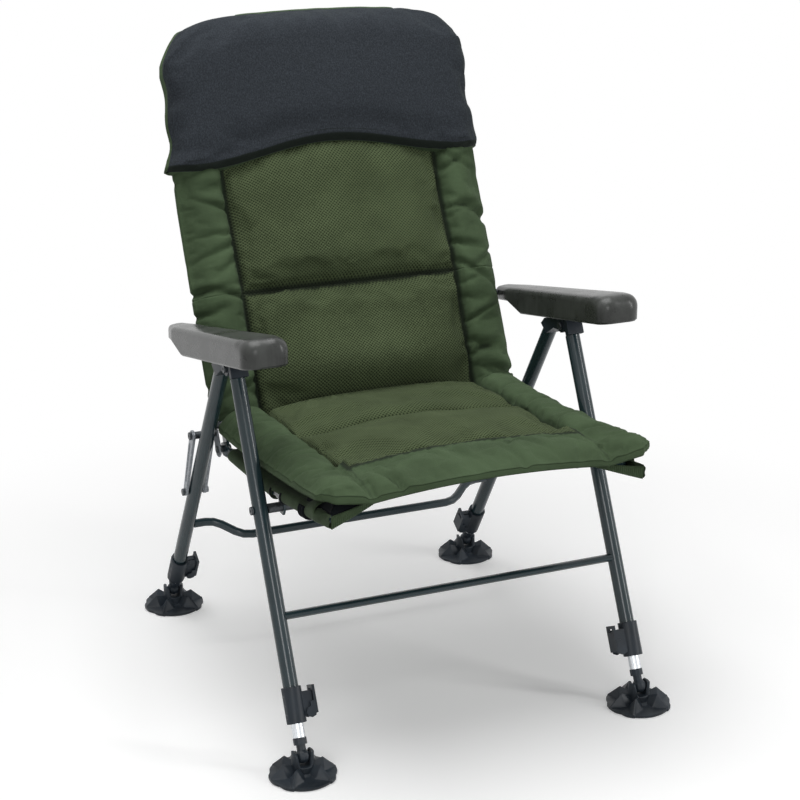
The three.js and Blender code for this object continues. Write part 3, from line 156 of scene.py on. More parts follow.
class ChairMattress(bpy.types.PropertyGroup):
    """Mattresses and slings"""

    panel_crown: length_of("Panel crown", "Rise of the mesh panels between their seams", 0.017)
    bolster_crown: length_of("Bolster crown", "Rise of the plain bolsters", 0.019)
    seam_depth: length_of("Seam depth", "How deep the seams draw the padding in", 0.012)
    seam_width: length_of("Seam width", "Half width of a drawn-in seam", 0.0075)
    pucker_depth: length_of("Pucker depth", "Depth of the creases in the bolsters", 0.0085)
    mesh_pitch: length_of("Mesh pitch", "Distance between the holes of the spacer mesh", 0.0046)
    plain_colour: colour_of("Plain cloth", "Colour of the bolsters and the slings", (0.070, 0.106, 0.055))
    mesh_colour: colour_of("Mesh cloth", "Colour of the spacer mesh", (0.088, 0.116, 0.056))
    head_colour: colour_of("Headrest cloth", "Colour of the headrest's front", (0.030, 0.035, 0.042))


class ChairPlastics(bpy.types.PropertyGroup):
    """Moulded pieces"""

    arm_colour: colour_of("Armrest", "Colour of the armrests", (0.048, 0.051, 0.048))
    fitting_colour: colour_of("Fittings", "Colour of clamps, hinges and feet", (0.014, 0.020, 0.027))
    edge: length_of("Edge", "Width of the softened edges of moulded pieces", 0.0008)


class ChairStudio(bpy.types.PropertyGroup):
    """Floor, lamps and camera"""

    lens: number_of("Lens", "Focal length of the camera, mm", 88.38)
    key_power: number_of("Key", "Power of the large lamp above", 72.0)
    fill_power: number_of("Fill", "Power of the lamp in front, to the left", 20.0)
    strip_power: number_of("Strip", "Power of the narrow lamp at the right", 30.0)
    sky: number_of("Sky", "Strength of the even light from all round", 0.15)


# Shapes worked out on grids


def grid_faces(rows, columns, wrap_rows=False, wrap_columns=False):
    """Quads of a grid of points that is numbered row by row, with its last line joined to its first if asked."""
    r = np.arange(rows if wrap_rows else rows - 1)
    c = np.arange(columns if wrap_columns else columns - 1)
    r, c = np.meshgrid(r, c, indexing="ij")
    after_r, after_c = (r + 1) % rows, (c + 1) % columns
    quads = [r * columns + c, r * columns + after_c, after_r * columns + after_c, after_r * columns + c]
    return np.stack(quads, -1).reshape(-1, 4)


def outward(points, faces):
    """The faces, turned round if the volume that they enclose comes out negative."""
    a, b, c, d = (points[faces[:, i]] for i in range(4))
    volume = np.einsum("ij,ij->", a, np.cross(b, c)) + np.einsum("ij,ij->", a, np.cross(c, d))
    return faces if volume > 0 else faces[:, ::-1]


def unit(vectors):
    """Vectors divided by their lengths."""
    return vectors / np.maximum(np.linalg.norm(vectors, axis=-1, keepdims=True), 1e-12)


def clamp(share):
    """A share kept from 0 to 1."""
    return np.clip(share, 0, 1)


def smooth(share):
    """A share from 0 to 1 that leaves 0 and reaches 1 level: three squares less two cubes."""
    s = clamp(share)
    return s * s * (3 - 2 * s)


def quarter(share):
    """Height of a quarter round: 1 and level at a share of 0, and 0 and upright at 1."""
    return np.sqrt(1 - np.square(clamp(share)))


def make_piece(name, points, faces, material, sharp=None, uv=None, values=None, closed=True):
    """A mesh object at the origin from points and quads; uv and values are given per point."""
    points = np.asarray(points, float).reshape(-1, 3)
    faces = outward(points, faces) if closed else faces
    mesh = bpy.data.meshes.new(name)
    mesh.from_pydata(points.tolist(), [], faces.tolist())
    mesh.materials.append(material)
    mesh.polygons.foreach_set("use_smooth", np.ones(len(mesh.polygons), bool))
    for key, value in (values or {}).items():
        mesh.attributes.new(key, "FLOAT", "POINT").data.foreach_set("value", np.asarray(value, np.float32).ravel())
    if uv is not None:
        corner = np.empty(len(mesh.loops), np.int32)
        mesh.loops.foreach_get("vertex_index", corner)
        flat = np.asarray(uv, np.float32).reshape(-1, 2)[corner]
        mesh.uv_layers.new(name="Cloth").data.foreach_set("uv", flat.ravel())
    weld = bmesh.new()
    weld.from_mesh(mesh)
    bmesh.ops.remove_doubles(weld, verts=weld.verts, dist=1e-6)
    bmesh.ops.dissolve_degenerate(weld, edges=weld.edges, dist=1e-7)
    weld.to_mesh(mesh)
    weld.free()
    if sharp is not None:
        mesh.set_sharp_from_angle(angle=math.radians(sharp))
    piece = bpy.data.objects.new(name, mesh)
    bpy.context.scene.collection.objects.link(piece)
    return piece


def sweep(path, outline, reference):
    """Rings of an outline carried along a path: its first direction is square to the path and the reference,
    its second square to the path and the first."""
    path = np.asarray(path, float)
    along = unit(np.gradient(path, axis=0))
    aside = unit(np.cross(along, reference))
    lift = np.cross(aside, along)
    return path[:, None] + outline[None, :, :1] * aside[:, None] + outline[None, :, 1:] * lift[:, None]


def circle(count):
    """Points of a unit circle."""
    turn = np.linspace(0, 2 * PI, count, endpoint=False)
    return np.stack([np.cos(turn), np.sin(turn)], -1)


def pipe(name, path, radius, wall, reference, material, sides=36):
    """A tube: the outer rings along the path, then the inner ones back, joined at both ends."""
    ring = circle(sides)
    outer = sweep(path, ring * radius, reference)
    inner = sweep(path, ring * (radius - wall), reference)[::-1]
    rings = np.concatenate([outer, inner])
    faces = grid_faces(len(rings), sides, wrap_rows=True, wrap_columns=True)
    return make_piece(name, rings, faces, material, sharp=50)


def cord(name, path, radius, material, reference, sides=8):
    """A solid round strand along a path, closed at both ends."""
    path = np.asarray(path, float)
    rings = sweep(path, circle(sides) * radius, reference)
    ends = [np.repeat(path[:1, None], sides, 1), np.repeat(path[-1:, None], sides, 1)]
    rings = np.concatenate([ends[0], rings, ends[1]])
    return make_piece(name, rings, grid_faces(len(rings), sides, wrap_columns=True), material)


def turned_points(place, side, stations, sides=28):
    """Rings of a turned piece: each station is a distance from the chair's middle plane and a radius about
    an axis across the chair."""
    stations = np.asarray(stations, float)
    ring = circle(sides)
    x = np.repeat(side * stations[:, :1], sides, 1)
    y = place[0] + stations[:, 1:] * ring[None, :, 0]
    z = place[1] + stations[:, 1:] * ring[None, :, 1]
    return np.stack([x, y, z], -1)


def bolt(name, place, side, start, steps, material, socket=0.0026):
    """A turned bolt: steps of an end distance and a radius, each with a fine chamfer, and a socket in the
    outer end."""
    chamfer = 0.0005
    stations = [(start, 0.0)]
    here = start
    for end, radius in steps:
        stations += [(here, radius - chamfer), (here + chamfer, radius)]
        stations += [(end - chamfer, radius), (end, radius - chamfer)]
        here = end
    floor = here - 0.0024
    stations += [(here, socket), (floor, socket), (floor, 0.0)]
    rings = turned_points(place, side, stations)
    return make_piece(name, rings, grid_faces(len(stations), rings.shape[1], wrap_columns=True), material, sharp=35)


def on_leg(end, side, along, behind=0.0):
    """A place on a leg: a distance from the ball along its axis, and one square to it towards the rear."""
    lean = LEG_LEAN[end]
    y = LEG_BALL[end] + along * math.sin(lean) + behind * math.cos(lean)
    z = BALL_HEIGHT + along * math.cos(lean) - behind * math.sin(lean)
    return np.array([side * LEG_PLANE, y, z])


def rail_height(y):
    """Height of the seat rail's axis: straight from the hinge to the knee, then straight to the front bar."""
    knee = np.maximum(y, SEAT_KNEE[0])
    rear = (HINGE[0] - knee) / (HINGE[0] - SEAT_KNEE[0]) * (SEAT_KNEE[1] - HINGE[1])
    ahead = (knee - y) / (SEAT_KNEE[0] - SEAT_FRONT[0]) * (SEAT_FRONT[1] - SEAT_KNEE[1])
    return HINGE[1] + rear + ahead


def bar_lift(x, y, margin):
    """Rise of what lies on the seat frame's front bar over the line of the rails: the bar climbs and falls
    back from each corner to a level middle, and the rise fades out evenly behind it."""
    across = np.maximum(np.abs(x) - margin, 0)
    corner = np.clip((across - BAR_HALF) / (RAIL_PLANE - BAR_HALF), 0, 1)
    height = BAR_HEIGHT + (SEAT_FRONT[1] - BAR_HEIGHT) * corner
    back = SEAT_FRONT[0] + BAR_SETBACK * (1 - corner)
    ride = np.clip((back + BAR_CREST + BAR_SLOPE + 2 * margin - y) / BAR_SLOPE, 0, 1)
    return np.maximum(height - rail_height(y), 0) * ride


def back_place(x, height, offset):
    """A place on the back: on the tube's line at a height, then forward square to it by the offset. The line
    is straight to the knee and from it, and the square turns evenly through the knee."""
    knee = np.minimum(height, BACK_KNEE)
    y = HINGE[0] + (knee - HINGE[1]) * math.tan(BACK_LEAN) + (height - knee) * math.tan(BACK_UPPER)
    turn = np.clip((height - BACK_KNEE + BACK_KNEE_EASE) / (2 * BACK_KNEE_EASE), 0, 1)
    lean = BACK_LEAN + (BACK_UPPER - BACK_LEAN) * turn
    return np.stack([x, y - offset * np.cos(lean), height + offset * np.sin(lean)], -1)


# Padding


def near(distance, width):
    """A bell that is 1 at a line and falls with the square of the distance from it."""
    return np.exp(-np.square(distance / width))


def bump(share, power):
    """1 in the middle of a span, 0 at its ends."""
    return 1 - np.abs(2 * clamp(share) - 1) ** power


def puckers(along, across, length, seed, spacing):
    """Creases across a bolster: each is a bell along a slanting line, deepest at one of the two seams and
    fading away from it. Across is 0 at the inner seam and 1 at the outer one."""
    rng = np.random.default_rng(seed)
    count = max(int(length / spacing), 2)
    at = (np.arange(count) + rng.uniform(0.1, 0.9, count)) * length / count
    slope = rng.uniform(-0.055, 0.055, count)
    width = rng.uniform(0.0036, 0.0074, count)
    depth = rng.uniform(0.35, 1.0, count)
    reach = rng.uniform(0.35, 0.95, count)
    outer = rng.random(count) < 0.5
    away = np.where(outer, 1 - across[..., None], across[..., None])
    line = along[..., None] - at - slope * across[..., None]
    crease = depth * near(line, width * (1 + away)) * np.exp(-np.square(away / reach))
    swell = 0.35 * depth * near(line - 2.4 * width, 2.2 * width) * np.exp(-np.square(away / reach))
    return (crease - swell).sum(-1)


def puff(points, pinned, pressure, growth, limit, steps=16):
    """Cloth simulation of a grid of points that is held at its seams: it is cut larger by the growth and
    blown up, and no point moves further than the limit."""
    rows, columns = points.shape[:2]
    mesh = bpy.data.meshes.new("puff")
    mesh.from_pydata(points.reshape(-1, 3).tolist(), [], grid_faces(rows, columns).tolist())
    cloth_object = bpy.data.objects.new("puff", mesh)
    bpy.context.scene.collection.objects.link(cloth_object)
    held = cloth_object.vertex_groups.new(name="held")
    weights = np.clip(pinned, 0, 1).ravel()
    for level in np.unique(np.round(weights, 1)):
        if level > 0:
            held.add(np.flatnonzero(np.round(weights, 1) == level).tolist(), float(level), "REPLACE")
    cloth = cloth_object.modifiers.new("Cloth", "CLOTH")
    for key, value in {
        "quality": 5, "mass": 0.25, "tension_stiffness": 18, "compression_stiffness": 18, "shear_stiffness": 6,
        "bending_stiffness": 0.4, "vertex_group_mass": "held", "pin_stiffness": 1.0, "use_pressure": True,
        "uniform_pressure_force": pressure, "shrink_min": -growth,
    }.items():
        setattr(cloth.settings, key, value)
    cloth.settings.effector_weights.gravity = 0
    cloth.collision_settings.use_collision = False
    cloth.collision_settings.use_self_collision = False
    scene = bpy.context.scene
    for step in range(1, steps + 1):
        scene.frame_set(step)
    evaluated = cloth_object.evaluated_get(bpy.context.evaluated_depsgraph_get())
    moved = np.empty(rows * columns * 3, np.float32)
    evaluated.data.vertices.foreach_get("co", moved)
    scene.frame_set(1)
    bpy.data.objects.remove(cloth_object)
    bpy.data.meshes.remove(mesh)
    shift = moved.reshape(points.shape).astype(float) - points
    size = np.linalg.norm(shift, axis=-1, keepdims=True)
    return points + shift * np.minimum(1, limit * np.tanh(size / limit) / np.maximum(size, 1e-9))


def rim_loop(rows, columns):
    """Numbers of the points round a grid's edge, and of each one's neighbour further in."""
    n = np.arange(rows * columns).reshape(rows, columns)
    edge = np.concatenate([n[0, :-1], n[:-1, -1], n[-1, :0:-1], n[:0:-1, 0]])
    r, c = np.divmod(edge, columns)
    inner = np.clip(r, 1, rows - 2) * columns + np.clip(c, 1, columns - 2)
    return edge, inner


def pad_piece(name, top, bottom, uv, panel, seam, material, flat_rows=(), rim=None):
    """A closed pad from a grid of its top and one of its bottom. The rim runs from the top's edge to the
    bottom's in loops that stand out by the given amounts; flat_rows are the grid's ends that stay flat."""
    rows, columns = top.shape[:2]
    rim = rim or ((0.04, 0.0012, 0), (0.14, 0.0002, 1), (0.24, 0.0014, 0), (0.6, 0.0018, 0), (0.84, 0.0012, 0),
                  (0.93, 0.0, 1), (1.0, 0.0008, 0))
    edge, inner = rim_loop(rows, columns)
    p, q = top.reshape(-1, 3), bottom.reshape(-1, 3)
    out = unit(p[edge] - p[inner])
    out -= unit(q[edge] - p[edge]) * np.einsum("ij,ij->i", out, unit(q[edge] - p[edge]))[:, None]
    out = unit(out)
    row = edge // columns
    loose = np.ones(len(edge))
    for flat in flat_rows:
        loose[row == flat % rows] = 0
    loops = [p[edge] * (1 - s) + q[edge] * s + out * (stand * loose)[:, None] for s, stand, _ in rim]
    points = np.concatenate([p, q, *loops])
    base = rows * columns
    grid = grid_faces(rows, columns)
    faces = [grid, grid[:, ::-1] + base]
    chain = [edge] + [2 * base + k * len(edge) + np.arange(len(edge)) for k in range(len(loops))] + [edge + base]
    for a, b in zip(chain[:-1], chain[1:]):
        faces.append(np.stack([a, b, np.roll(b, -1), np.roll(a, -1)], -1))
    u = uv.reshape(-1, 2)
    outside = unit(u[edge] - u[inner])
    drop = np.linalg.norm(q[edge] - p[edge], axis=-1)
    loop_uv = [u[edge] + outside * (s * drop)[:, None] for s, _, _ in rim]
    whole_uv = np.concatenate([u, u, *loop_uv])
    count = len(edge)
    panels = np.concatenate([panel.ravel(), np.full(base, -0.05), np.full(count * len(rim), -0.05)])
    # Rim loops whose third value is 1 join the seam mark and are darkened: dark thread in part, painted shade in part
    rim_seams = [np.full(count, 0.9 * seam_thread_and_shade) * loose for _, _, seam_thread_and_shade in rim]
    seams = np.concatenate([seam.ravel(), np.zeros(base), *rim_seams])
    return make_piece(name, points, np.concatenate(faces), material, uv=whole_uv,
                      values={"panel": panels, "seam": seams})


def spread(low, high, step, lines):
    """Even stations from low to high, with finer ones beside each line that a seam follows."""
    even = np.linspace(low, high, int(round((high - low) / step)) + 1)
    fine = [line + offset for line in lines for offset in (-0.006, -0.003, -0.0012, 0.0012, 0.003, 0.006)]
    both = np.sort(np.concatenate([even, np.clip(fine, low, high), lines]))
    return both[np.concatenate([[True], np.diff(both) > 0.0009])]


def lengths(points, axis):
    """Distance travelled along one direction of a grid of points."""
    step = np.linalg.norm(np.diff(points, axis=axis), axis=-1)
    start = np.zeros_like(np.take(step, [0], axis))
    return np.concatenate([start, np.cumsum(step, axis)], axis)


def seat_edge(y):
    """Height of the seat's side seam: it rises with the power 1.5 of the distance from the rear."""
    share = (SEAT_REAR_EDGE - y) / (SEAT_REAR_EDGE - SEAT_FRONT_EDGE)
    return 0.445 + 0.047 * clamp(share) ** 1.5


def front_wave(x):
    """Height of the seat's front seam: a low arch between the panel seams, rising again to the corners."""
    a = np.abs(x) / PANEL_HALF
    return np.where(a < 1, 0.492 - 0.012 * a * a, 0.480 + 0.012 * np.minimum((a - 1) / 0.41, 1))


def front_seam(x):
    """Where the front bolster meets the mesh: an arch that comes furthest to the rear in the middle."""
    return -0.306 + 0.034 * (1 - np.square(np.minimum(np.abs(x) / PANEL_HALF, 1)))


def crowned(x, seam_height, edge_height, lengthwise, sizes):
    """Height of a mattress across its width: a full panel between its seams, and a bolster that goes from
    the panel's seam to the edge over a full curve."""
    a = np.abs(x)
    panel = seam_height + sizes.panel_crown * (1 - clamp(a / PANEL_HALF) ** 3) * lengthwise
    share = (a - PANEL_HALF) / (PAD_HALF - PANEL_HALF)
    fall = seam_height + (edge_height - seam_height) * clamp(share)
    return np.where(a < PANEL_HALF, panel, fall + sizes.bolster_crown * bump(share, 2.6))


def seat_heights(x, y, sizes):
    """Heights of the seat mattress's top: the crowned section, the front bolster ahead of its seam, the drawn
    seams and the creases of the bolsters."""
    a = np.abs(x)
    seam_y = front_seam(x)
    span = np.where(y > SEAT_SPLIT, (SEAT_REAR_EDGE - y) / (SEAT_REAR_EDGE - SEAT_SPLIT),
                    (SEAT_SPLIT - y) / (SEAT_SPLIT - seam_y))
    rear_cell = 0.72 + 0.28 * bump(0.5 + 0.5 * span, 5) - 0.30 * near(span, 0.10)
    rear_cell = np.minimum(rear_cell, bump(0.5 + 0.5 * span, 8))
    lengthwise = np.where(y > SEAT_SPLIT, rear_cell, clamp(bump(span, 4)))
    seam_height = 0.460 + 0.016 * (0.068 - np.maximum(y, -0.290)) / 0.358
    whole = crowned(x, seam_height, seat_edge(y), 1.25 * lengthwise, sizes)
    across = clamp((a - PANEL_HALF) / (PAD_HALF - PANEL_HALF))
    ahead = clamp((seam_y - y) / (seam_y - SEAT_FRONT_EDGE))
    ahead_of = y < seam_y
    line = seam_height + (front_wave(x) - seam_height) * ahead**2
    lateral = quarter((a - PANEL_HALF + 0.030) / 0.030)
    front = line + sizes.bolster_crown * 1.25 * bump(ahead, 2.6) * lateral
    fall = line + (seat_edge(y) - line) * across
    ending = quarter((-0.356 - y) / 0.048)
    corner = fall + (crowned(x, line, seat_edge(y), 1, sizes) - fall) * ending
    whole = np.where(ahead_of, np.where(a < PANEL_HALF, front, corner), whole)
    side_seam = near(a - PANEL_HALF, sizes.seam_width) * (1 - 0.35 * smooth((seam_y - y) / 0.02))
    curve_seam = near(y - seam_y, sizes.seam_width) * smooth((PANEL_HALF + 0.004 - a) / 0.006)
    cross_seam = 0.42 * near(y - SEAT_SPLIT, sizes.seam_width) * smooth((PANEL_HALF - a) / 0.006)
    seam = np.maximum.reduce([side_seam, curve_seam, cross_seam])
    side = np.where(x < 0, *(puckers(SEAT_REAR_EDGE - y, across, 0.49, seed, 0.040) for seed in (11, 12)))
    side = side * (a > PANEL_HALF) * smooth(across / 0.08)
    front_crease = puckers(x + PAD_HALF, ahead, 2 * PAD_HALF, 13, 0.036)
    front_crease = front_crease * ahead_of * (a < PANEL_HALF) * smooth(ahead / 0.1)
    crease = 0.85 * side + front_crease
    heights = whole - sizes.seam_depth * seam - sizes.pucker_depth * crease
    # Painted shade: the creases' bottoms join the seam mark, which darkens the cloth there
    seam = np.maximum(seam, 0.72 * clamp(crease))
    panel = np.minimum(PANEL_HALF - a, y - seam_y)
    return heights, panel, seam


def over_sling(tube_radius):
    """Distance from a tube's axis to the padding: over the tube's widest corner and the sling on it."""
    return (tube_radius + 0.0004) / math.cos(PI / 8) + 0.0025


def seat_base(x, y, tube_radius):
    """Underside of the seat mattress: on the sling over the rails and the front bar, lifting to a boxing's
    depth at the edge."""
    low = rail_height(y) + over_sling(tube_radius) + bar_lift(x, y, 0.016)
    sideways = low + (seat_edge(y) - BOXING - low) * (np.abs(x) / PAD_HALF) ** 8
    ahead = clamp((-0.290 - y) / 0.114)
    whole = sideways + (front_wave(x) - BOXING - sideways) * ahead**3
    return np.where(y > -0.366, np.maximum(whole, low), whole)


def back_edge(z):
    """Offset of the back mattress's side seam: it falls with the root of the height."""
    return 0.028 - 0.016 * np.sqrt(clamp((z - BACK_LOW) / (HEAD_LOW - BACK_LOW)))


def back_heights(x, z, sizes):
    """Offsets of the back mattress's front from the tube line, as for the seat, with a seam across the mesh, a
    roll at the lumbar and a lower end that turns in. The creases are given too, by how far out they lie."""
    a = np.abs(x)
    lower = z < BACK_SPLIT
    seam_height = np.where(lower, 0.040 + 0.006 * (z - BACK_LOW) / (BACK_SPLIT - BACK_LOW),
                           0.046 - 0.022 * (z - BACK_SPLIT) / (HEAD_LOW - BACK_SPLIT))
    span = np.where(lower, (z - BACK_LOW) / (BACK_SPLIT - BACK_LOW), (z - BACK_SPLIT) / (HEAD_LOW - BACK_SPLIT))
    lengthwise = clamp(bump(span, 6))
    whole = crowned(x, seam_height, back_edge(z), 1.25 * lengthwise, sizes)
    lumbar = 0.019 * near(z - 0.497, 0.038) - 0.007 * near(z - 0.585, 0.034)
    lumbar = lumbar * (1 - clamp(a / PANEL_HALF) ** 2)
    across = clamp((a - PANEL_HALF) / (PAD_HALF - PANEL_HALF))
    side_seam = near(a - PANEL_HALF, sizes.seam_width)
    cross_seam = near(z - BACK_SPLIT, sizes.seam_width) * smooth((PANEL_HALF - a) / 0.006)
    seam = np.maximum(side_seam, cross_seam)
    crease = np.where(x < 0, *(puckers(z - BACK_LOW, across, 0.41, seed, 0.027) for seed in (21, 27)))
    crease = crease * (a > PANEL_HALF) * smooth(across / 0.06)
    roll = 0.005 * (1 - quarter((BACK_LOW + 0.014 - z) / (BACK_TUCK + 0.014)))
    heights = whole + lumbar - sizes.seam_depth * seam - 1.3 * sizes.pucker_depth * crease - roll
    # Painted shade: the creases' bottoms join the seam mark, which darkens the cloth there
    seam = np.maximum(seam, 0.80 * clamp(crease))
    return heights, PANEL_HALF - a, seam, crease * across


def back_base(x, z, tube_radius):
    """Back of the back mattress: on the sling, then straight to a boxing's depth at the side edge."""
    over = over_sling(tube_radius)
    past = RAIL_PLANE + over
    return over + (back_edge(z) - BOXING - over) * np.clip((np.abs(x) - past) / (PAD_HALF - past), 0, None)


def head_arch(x):
    """Rise of the headrest's lower edge: an arch of one cosine wave, and a short rise at each end."""
    a = np.abs(x)
    return 0.017 * (1 + np.cos(PI * np.minimum(a / 0.265, 1))) + 0.007 * (a / 0.297) ** 8


# Materials


def feed(tree, node, inputs):
    """Gives a node its inputs: a socket is linked, and anything else is set as a value."""
    for key, value in inputs.items():
        if isinstance(value, bpy.types.NodeSocket):
            tree.links.new(value, node.inputs[key])
        else:
            node.inputs[key].default_value = value


def add_node(tree, kind, options=None, inputs=None):
    """A shader node with its settings and its inputs."""
    node = tree.nodes.new(kind)
    for key, value in (options or {}).items():
        setattr(node, key, value)
    feed(tree, node, inputs or {})
    return node


def math_node(tree, operation, first, second):
    """The result of one sum on two numbers or sockets."""
    return add_node(tree, "ShaderNodeMath", {"operation": operation}, {0: first, 1: second}).outputs[0]


def mix_colour(tree, share, first, second):
    """A colour between two, by a share."""
    return add_node(tree, "ShaderNodeMix", {"data_type": "RGBA"}, {0: share, 6: first, 7: second}).outputs[2]


def tinted(colour, level=1.0):
    """A colour at a level, opaque and no brighter than white."""
    return (*(min(1.0, level * c) for c in colour), 1)


def linear(tree, value, low, high, to_low, to_high):
    """A value carried from one span to another along a straight line."""
    return ranged(tree, value, low, high, to_low, to_high, "LINEAR")


def stretched(tree, vector, scale):
    """Coordinates scaled apart along the axes."""
    return add_node(tree, "ShaderNodeMapping", None, {"Vector": vector, "Scale": scale}).outputs[0]


def ranged(tree, value, low, high, to_low=0.0, to_high=1.0, kind="SMOOTHSTEP"):
    """A value carried from one span to another."""
    inputs = {"Value": value, "From Min": low, "From Max": high, "To Min": to_low, "To Max": to_high}
    return add_node(tree, "ShaderNodeMapRange", {"interpolation_type": kind}, inputs).outputs["Result"]


def noise(tree, vector, scale, detail=3.0, roughness=0.5):
    """Noise at a number of waves to the metre."""
    inputs = {"Vector": vector, "Scale": scale, "Detail": detail, "Roughness": roughness}
    return add_node(tree, "ShaderNodeTexNoise", None, inputs).outputs["Fac"]


def bumped(tree, height, strength, distance, before=None):
    """Normals of a height field, on top of those of an earlier one."""
    inputs = {"Height": height, "Strength": strength, "Distance": distance}
    if before is not None:
        inputs["Normal"] = before
    return add_node(tree, "ShaderNodeBump", None, inputs).outputs["Normal"]


def start_material(name):
    """A new material, its tree, its surface shader and the object's own coordinates."""
    material = bpy.data.materials.new(f"chair_{name}")
    material.use_nodes = True
    tree = material.node_tree
    shader = tree.nodes["Principled BSDF"]
    place = add_node(tree, "ShaderNodeTexCoord").outputs["Object"]
    return material, tree, shader, place


def coat_material(tubes):
    """Gloss powder coat: a dark ground with fine pale flecks, and a skin like a hammered one."""
    material, tree, shader, place = start_material("powder_coat")
    fleck = ranged(tree, noise(tree, place, 2600, 1.0), 0.52, 0.74)
    cloud = linear(tree, noise(tree, place, 30, 2), 0.3, 0.7, 0.9, 1.1)
    ground = mix_colour(tree, fleck, tinted(tubes.coat_colour), tinted(tubes.coat_fleck))
    lit = add_node(tree, "ShaderNodeVectorMath", {"operation": "SCALE"}, {0: ground, "Scale": cloud})
    feed(tree, shader, {
        "Base Color": lit.outputs[0],
        "Roughness": linear(tree, noise(tree, place, 220, 2), 0.3, 0.7, 0.17, 0.24),
        "Normal": bumped(tree, noise(tree, place, 900, 2), 0.10, 0.0003),
        "Specular IOR Level": 0.42,
    })
    return material


def bright_material(tubes):
    """Drawn aluminium: faint lengthwise scuffs on a bright ground."""
    material, tree, shader, place = start_material("bright_tube")
    scuff = noise(tree, stretched(tree, place, (1.0, 0.9, 0.07)), 900, 3)
    worn = ranged(tree, scuff, 0.35, 0.7)
    feed(tree, shader, {
        "Base Color": mix_colour(tree, worn, tinted(tubes.bright_colour), (0.62, 0.65, 0.68, 1)),
        "Roughness": linear(tree, scuff, 0.3, 0.7, 0.22, 0.38),
        "Normal": bumped(tree, scuff, 0.08, 0.0002),
        "Metallic": 0.85,
    })
    return material


def steel_material(name, colour, metallic):
    """Coated steel of bolts and plates: a mottled ground with worn, brighter specks."""
    material, tree, shader, place = start_material(name)
    mottle = ranged(tree, noise(tree, place, 260, 4, 0.6), 0.35, 0.75)
    feed(tree, shader, {
        "Base Color": mix_colour(tree, mottle, tinted(colour), tinted(colour, 1.9)),
        "Roughness": linear(tree, mottle, 0, 1, 0.34, 0.52),
        "Normal": bumped(tree, noise(tree, place, 1400, 2), 0.12, 0.0003),
        "Metallic": metallic,
    })
    return material


def moulded_material(name, colour, roughness, grain, drag):
    """Moulded plastic: a fine grain, clouds of scuffing, and faint upright drag marks where asked."""
    material, tree, shader, place = start_material(name)
    cloud = noise(tree, place, 18, 4, 0.6)
    shade = mix_colour(tree, ranged(tree, cloud, 0.35, 0.68), tinted(colour, 0.72), tinted(colour, 1.28))
    if drag > 0:
        upright = stretched(tree, place, (1.0, 1.0, 0.10))
        marks = ranged(tree, noise(tree, upright, 130, 3, 0.55), 0.42, 0.72)
        shade = mix_colour(tree, math_node(tree, "MULTIPLY", marks, drag), shade, tinted(colour, 0.55))
    fine = add_node(tree, "ShaderNodeTexVoronoi", None, {"Vector": place, "Scale": 1000.0})
    feed(tree, shader, {
        "Base Color": shade,
        "Roughness": linear(tree, cloud, 0.3, 0.7, roughness - 0.05, roughness + 0.08),
        "Normal": bumped(tree, fine.outputs["Distance"], grain, 0.0003),
        "Specular IOR Level": 0.30,
    })
    return material


def cloth_coordinates(tree):
    """The piece's own cloth map, in metres, and its marks for panels and seams."""
    uv = add_node(tree, "ShaderNodeUVMap", {"uv_map": "Cloth"}).outputs[0]
    marks = [add_node(tree, "ShaderNodeAttribute", {"attribute_name": key}).outputs["Fac"] for key in ("panel", "seam")]
    return uv, *marks


def weave(tree, uv, pitch):
    """Plain weave: two sets of threads at right angles, the higher of the two at each place."""
    sets = [add_node(tree, "ShaderNodeTexWave", {"bands_direction": way, "wave_profile": "SIN"},
                     {"Vector": uv, "Scale": 0.314 / pitch, "Distortion": 0.0}).outputs["Fac"] for way in "XY"]
    return math_node(tree, "MAXIMUM", *sets)


def holes(tree, uv, pitch):
    """Staggered holes of a spacer mesh: distance from the nodes of a square lattice that stands on its
    corner, so that its rows are offset by half a step."""
    turn = {"Vector": uv, "Rotation": (0, 0, PI / 4), "Scale": (1 / pitch, 1.28 / pitch, 1.0)}
    lattice = add_node(tree, "ShaderNodeMapping", None, turn).outputs[0]
    cell = {"Vector": lattice, "Scale": 1.0, "Randomness": 0.0}
    return add_node(tree, "ShaderNodeTexVoronoi", {"voronoi_dimensions": "2D"}, cell).outputs["Distance"]


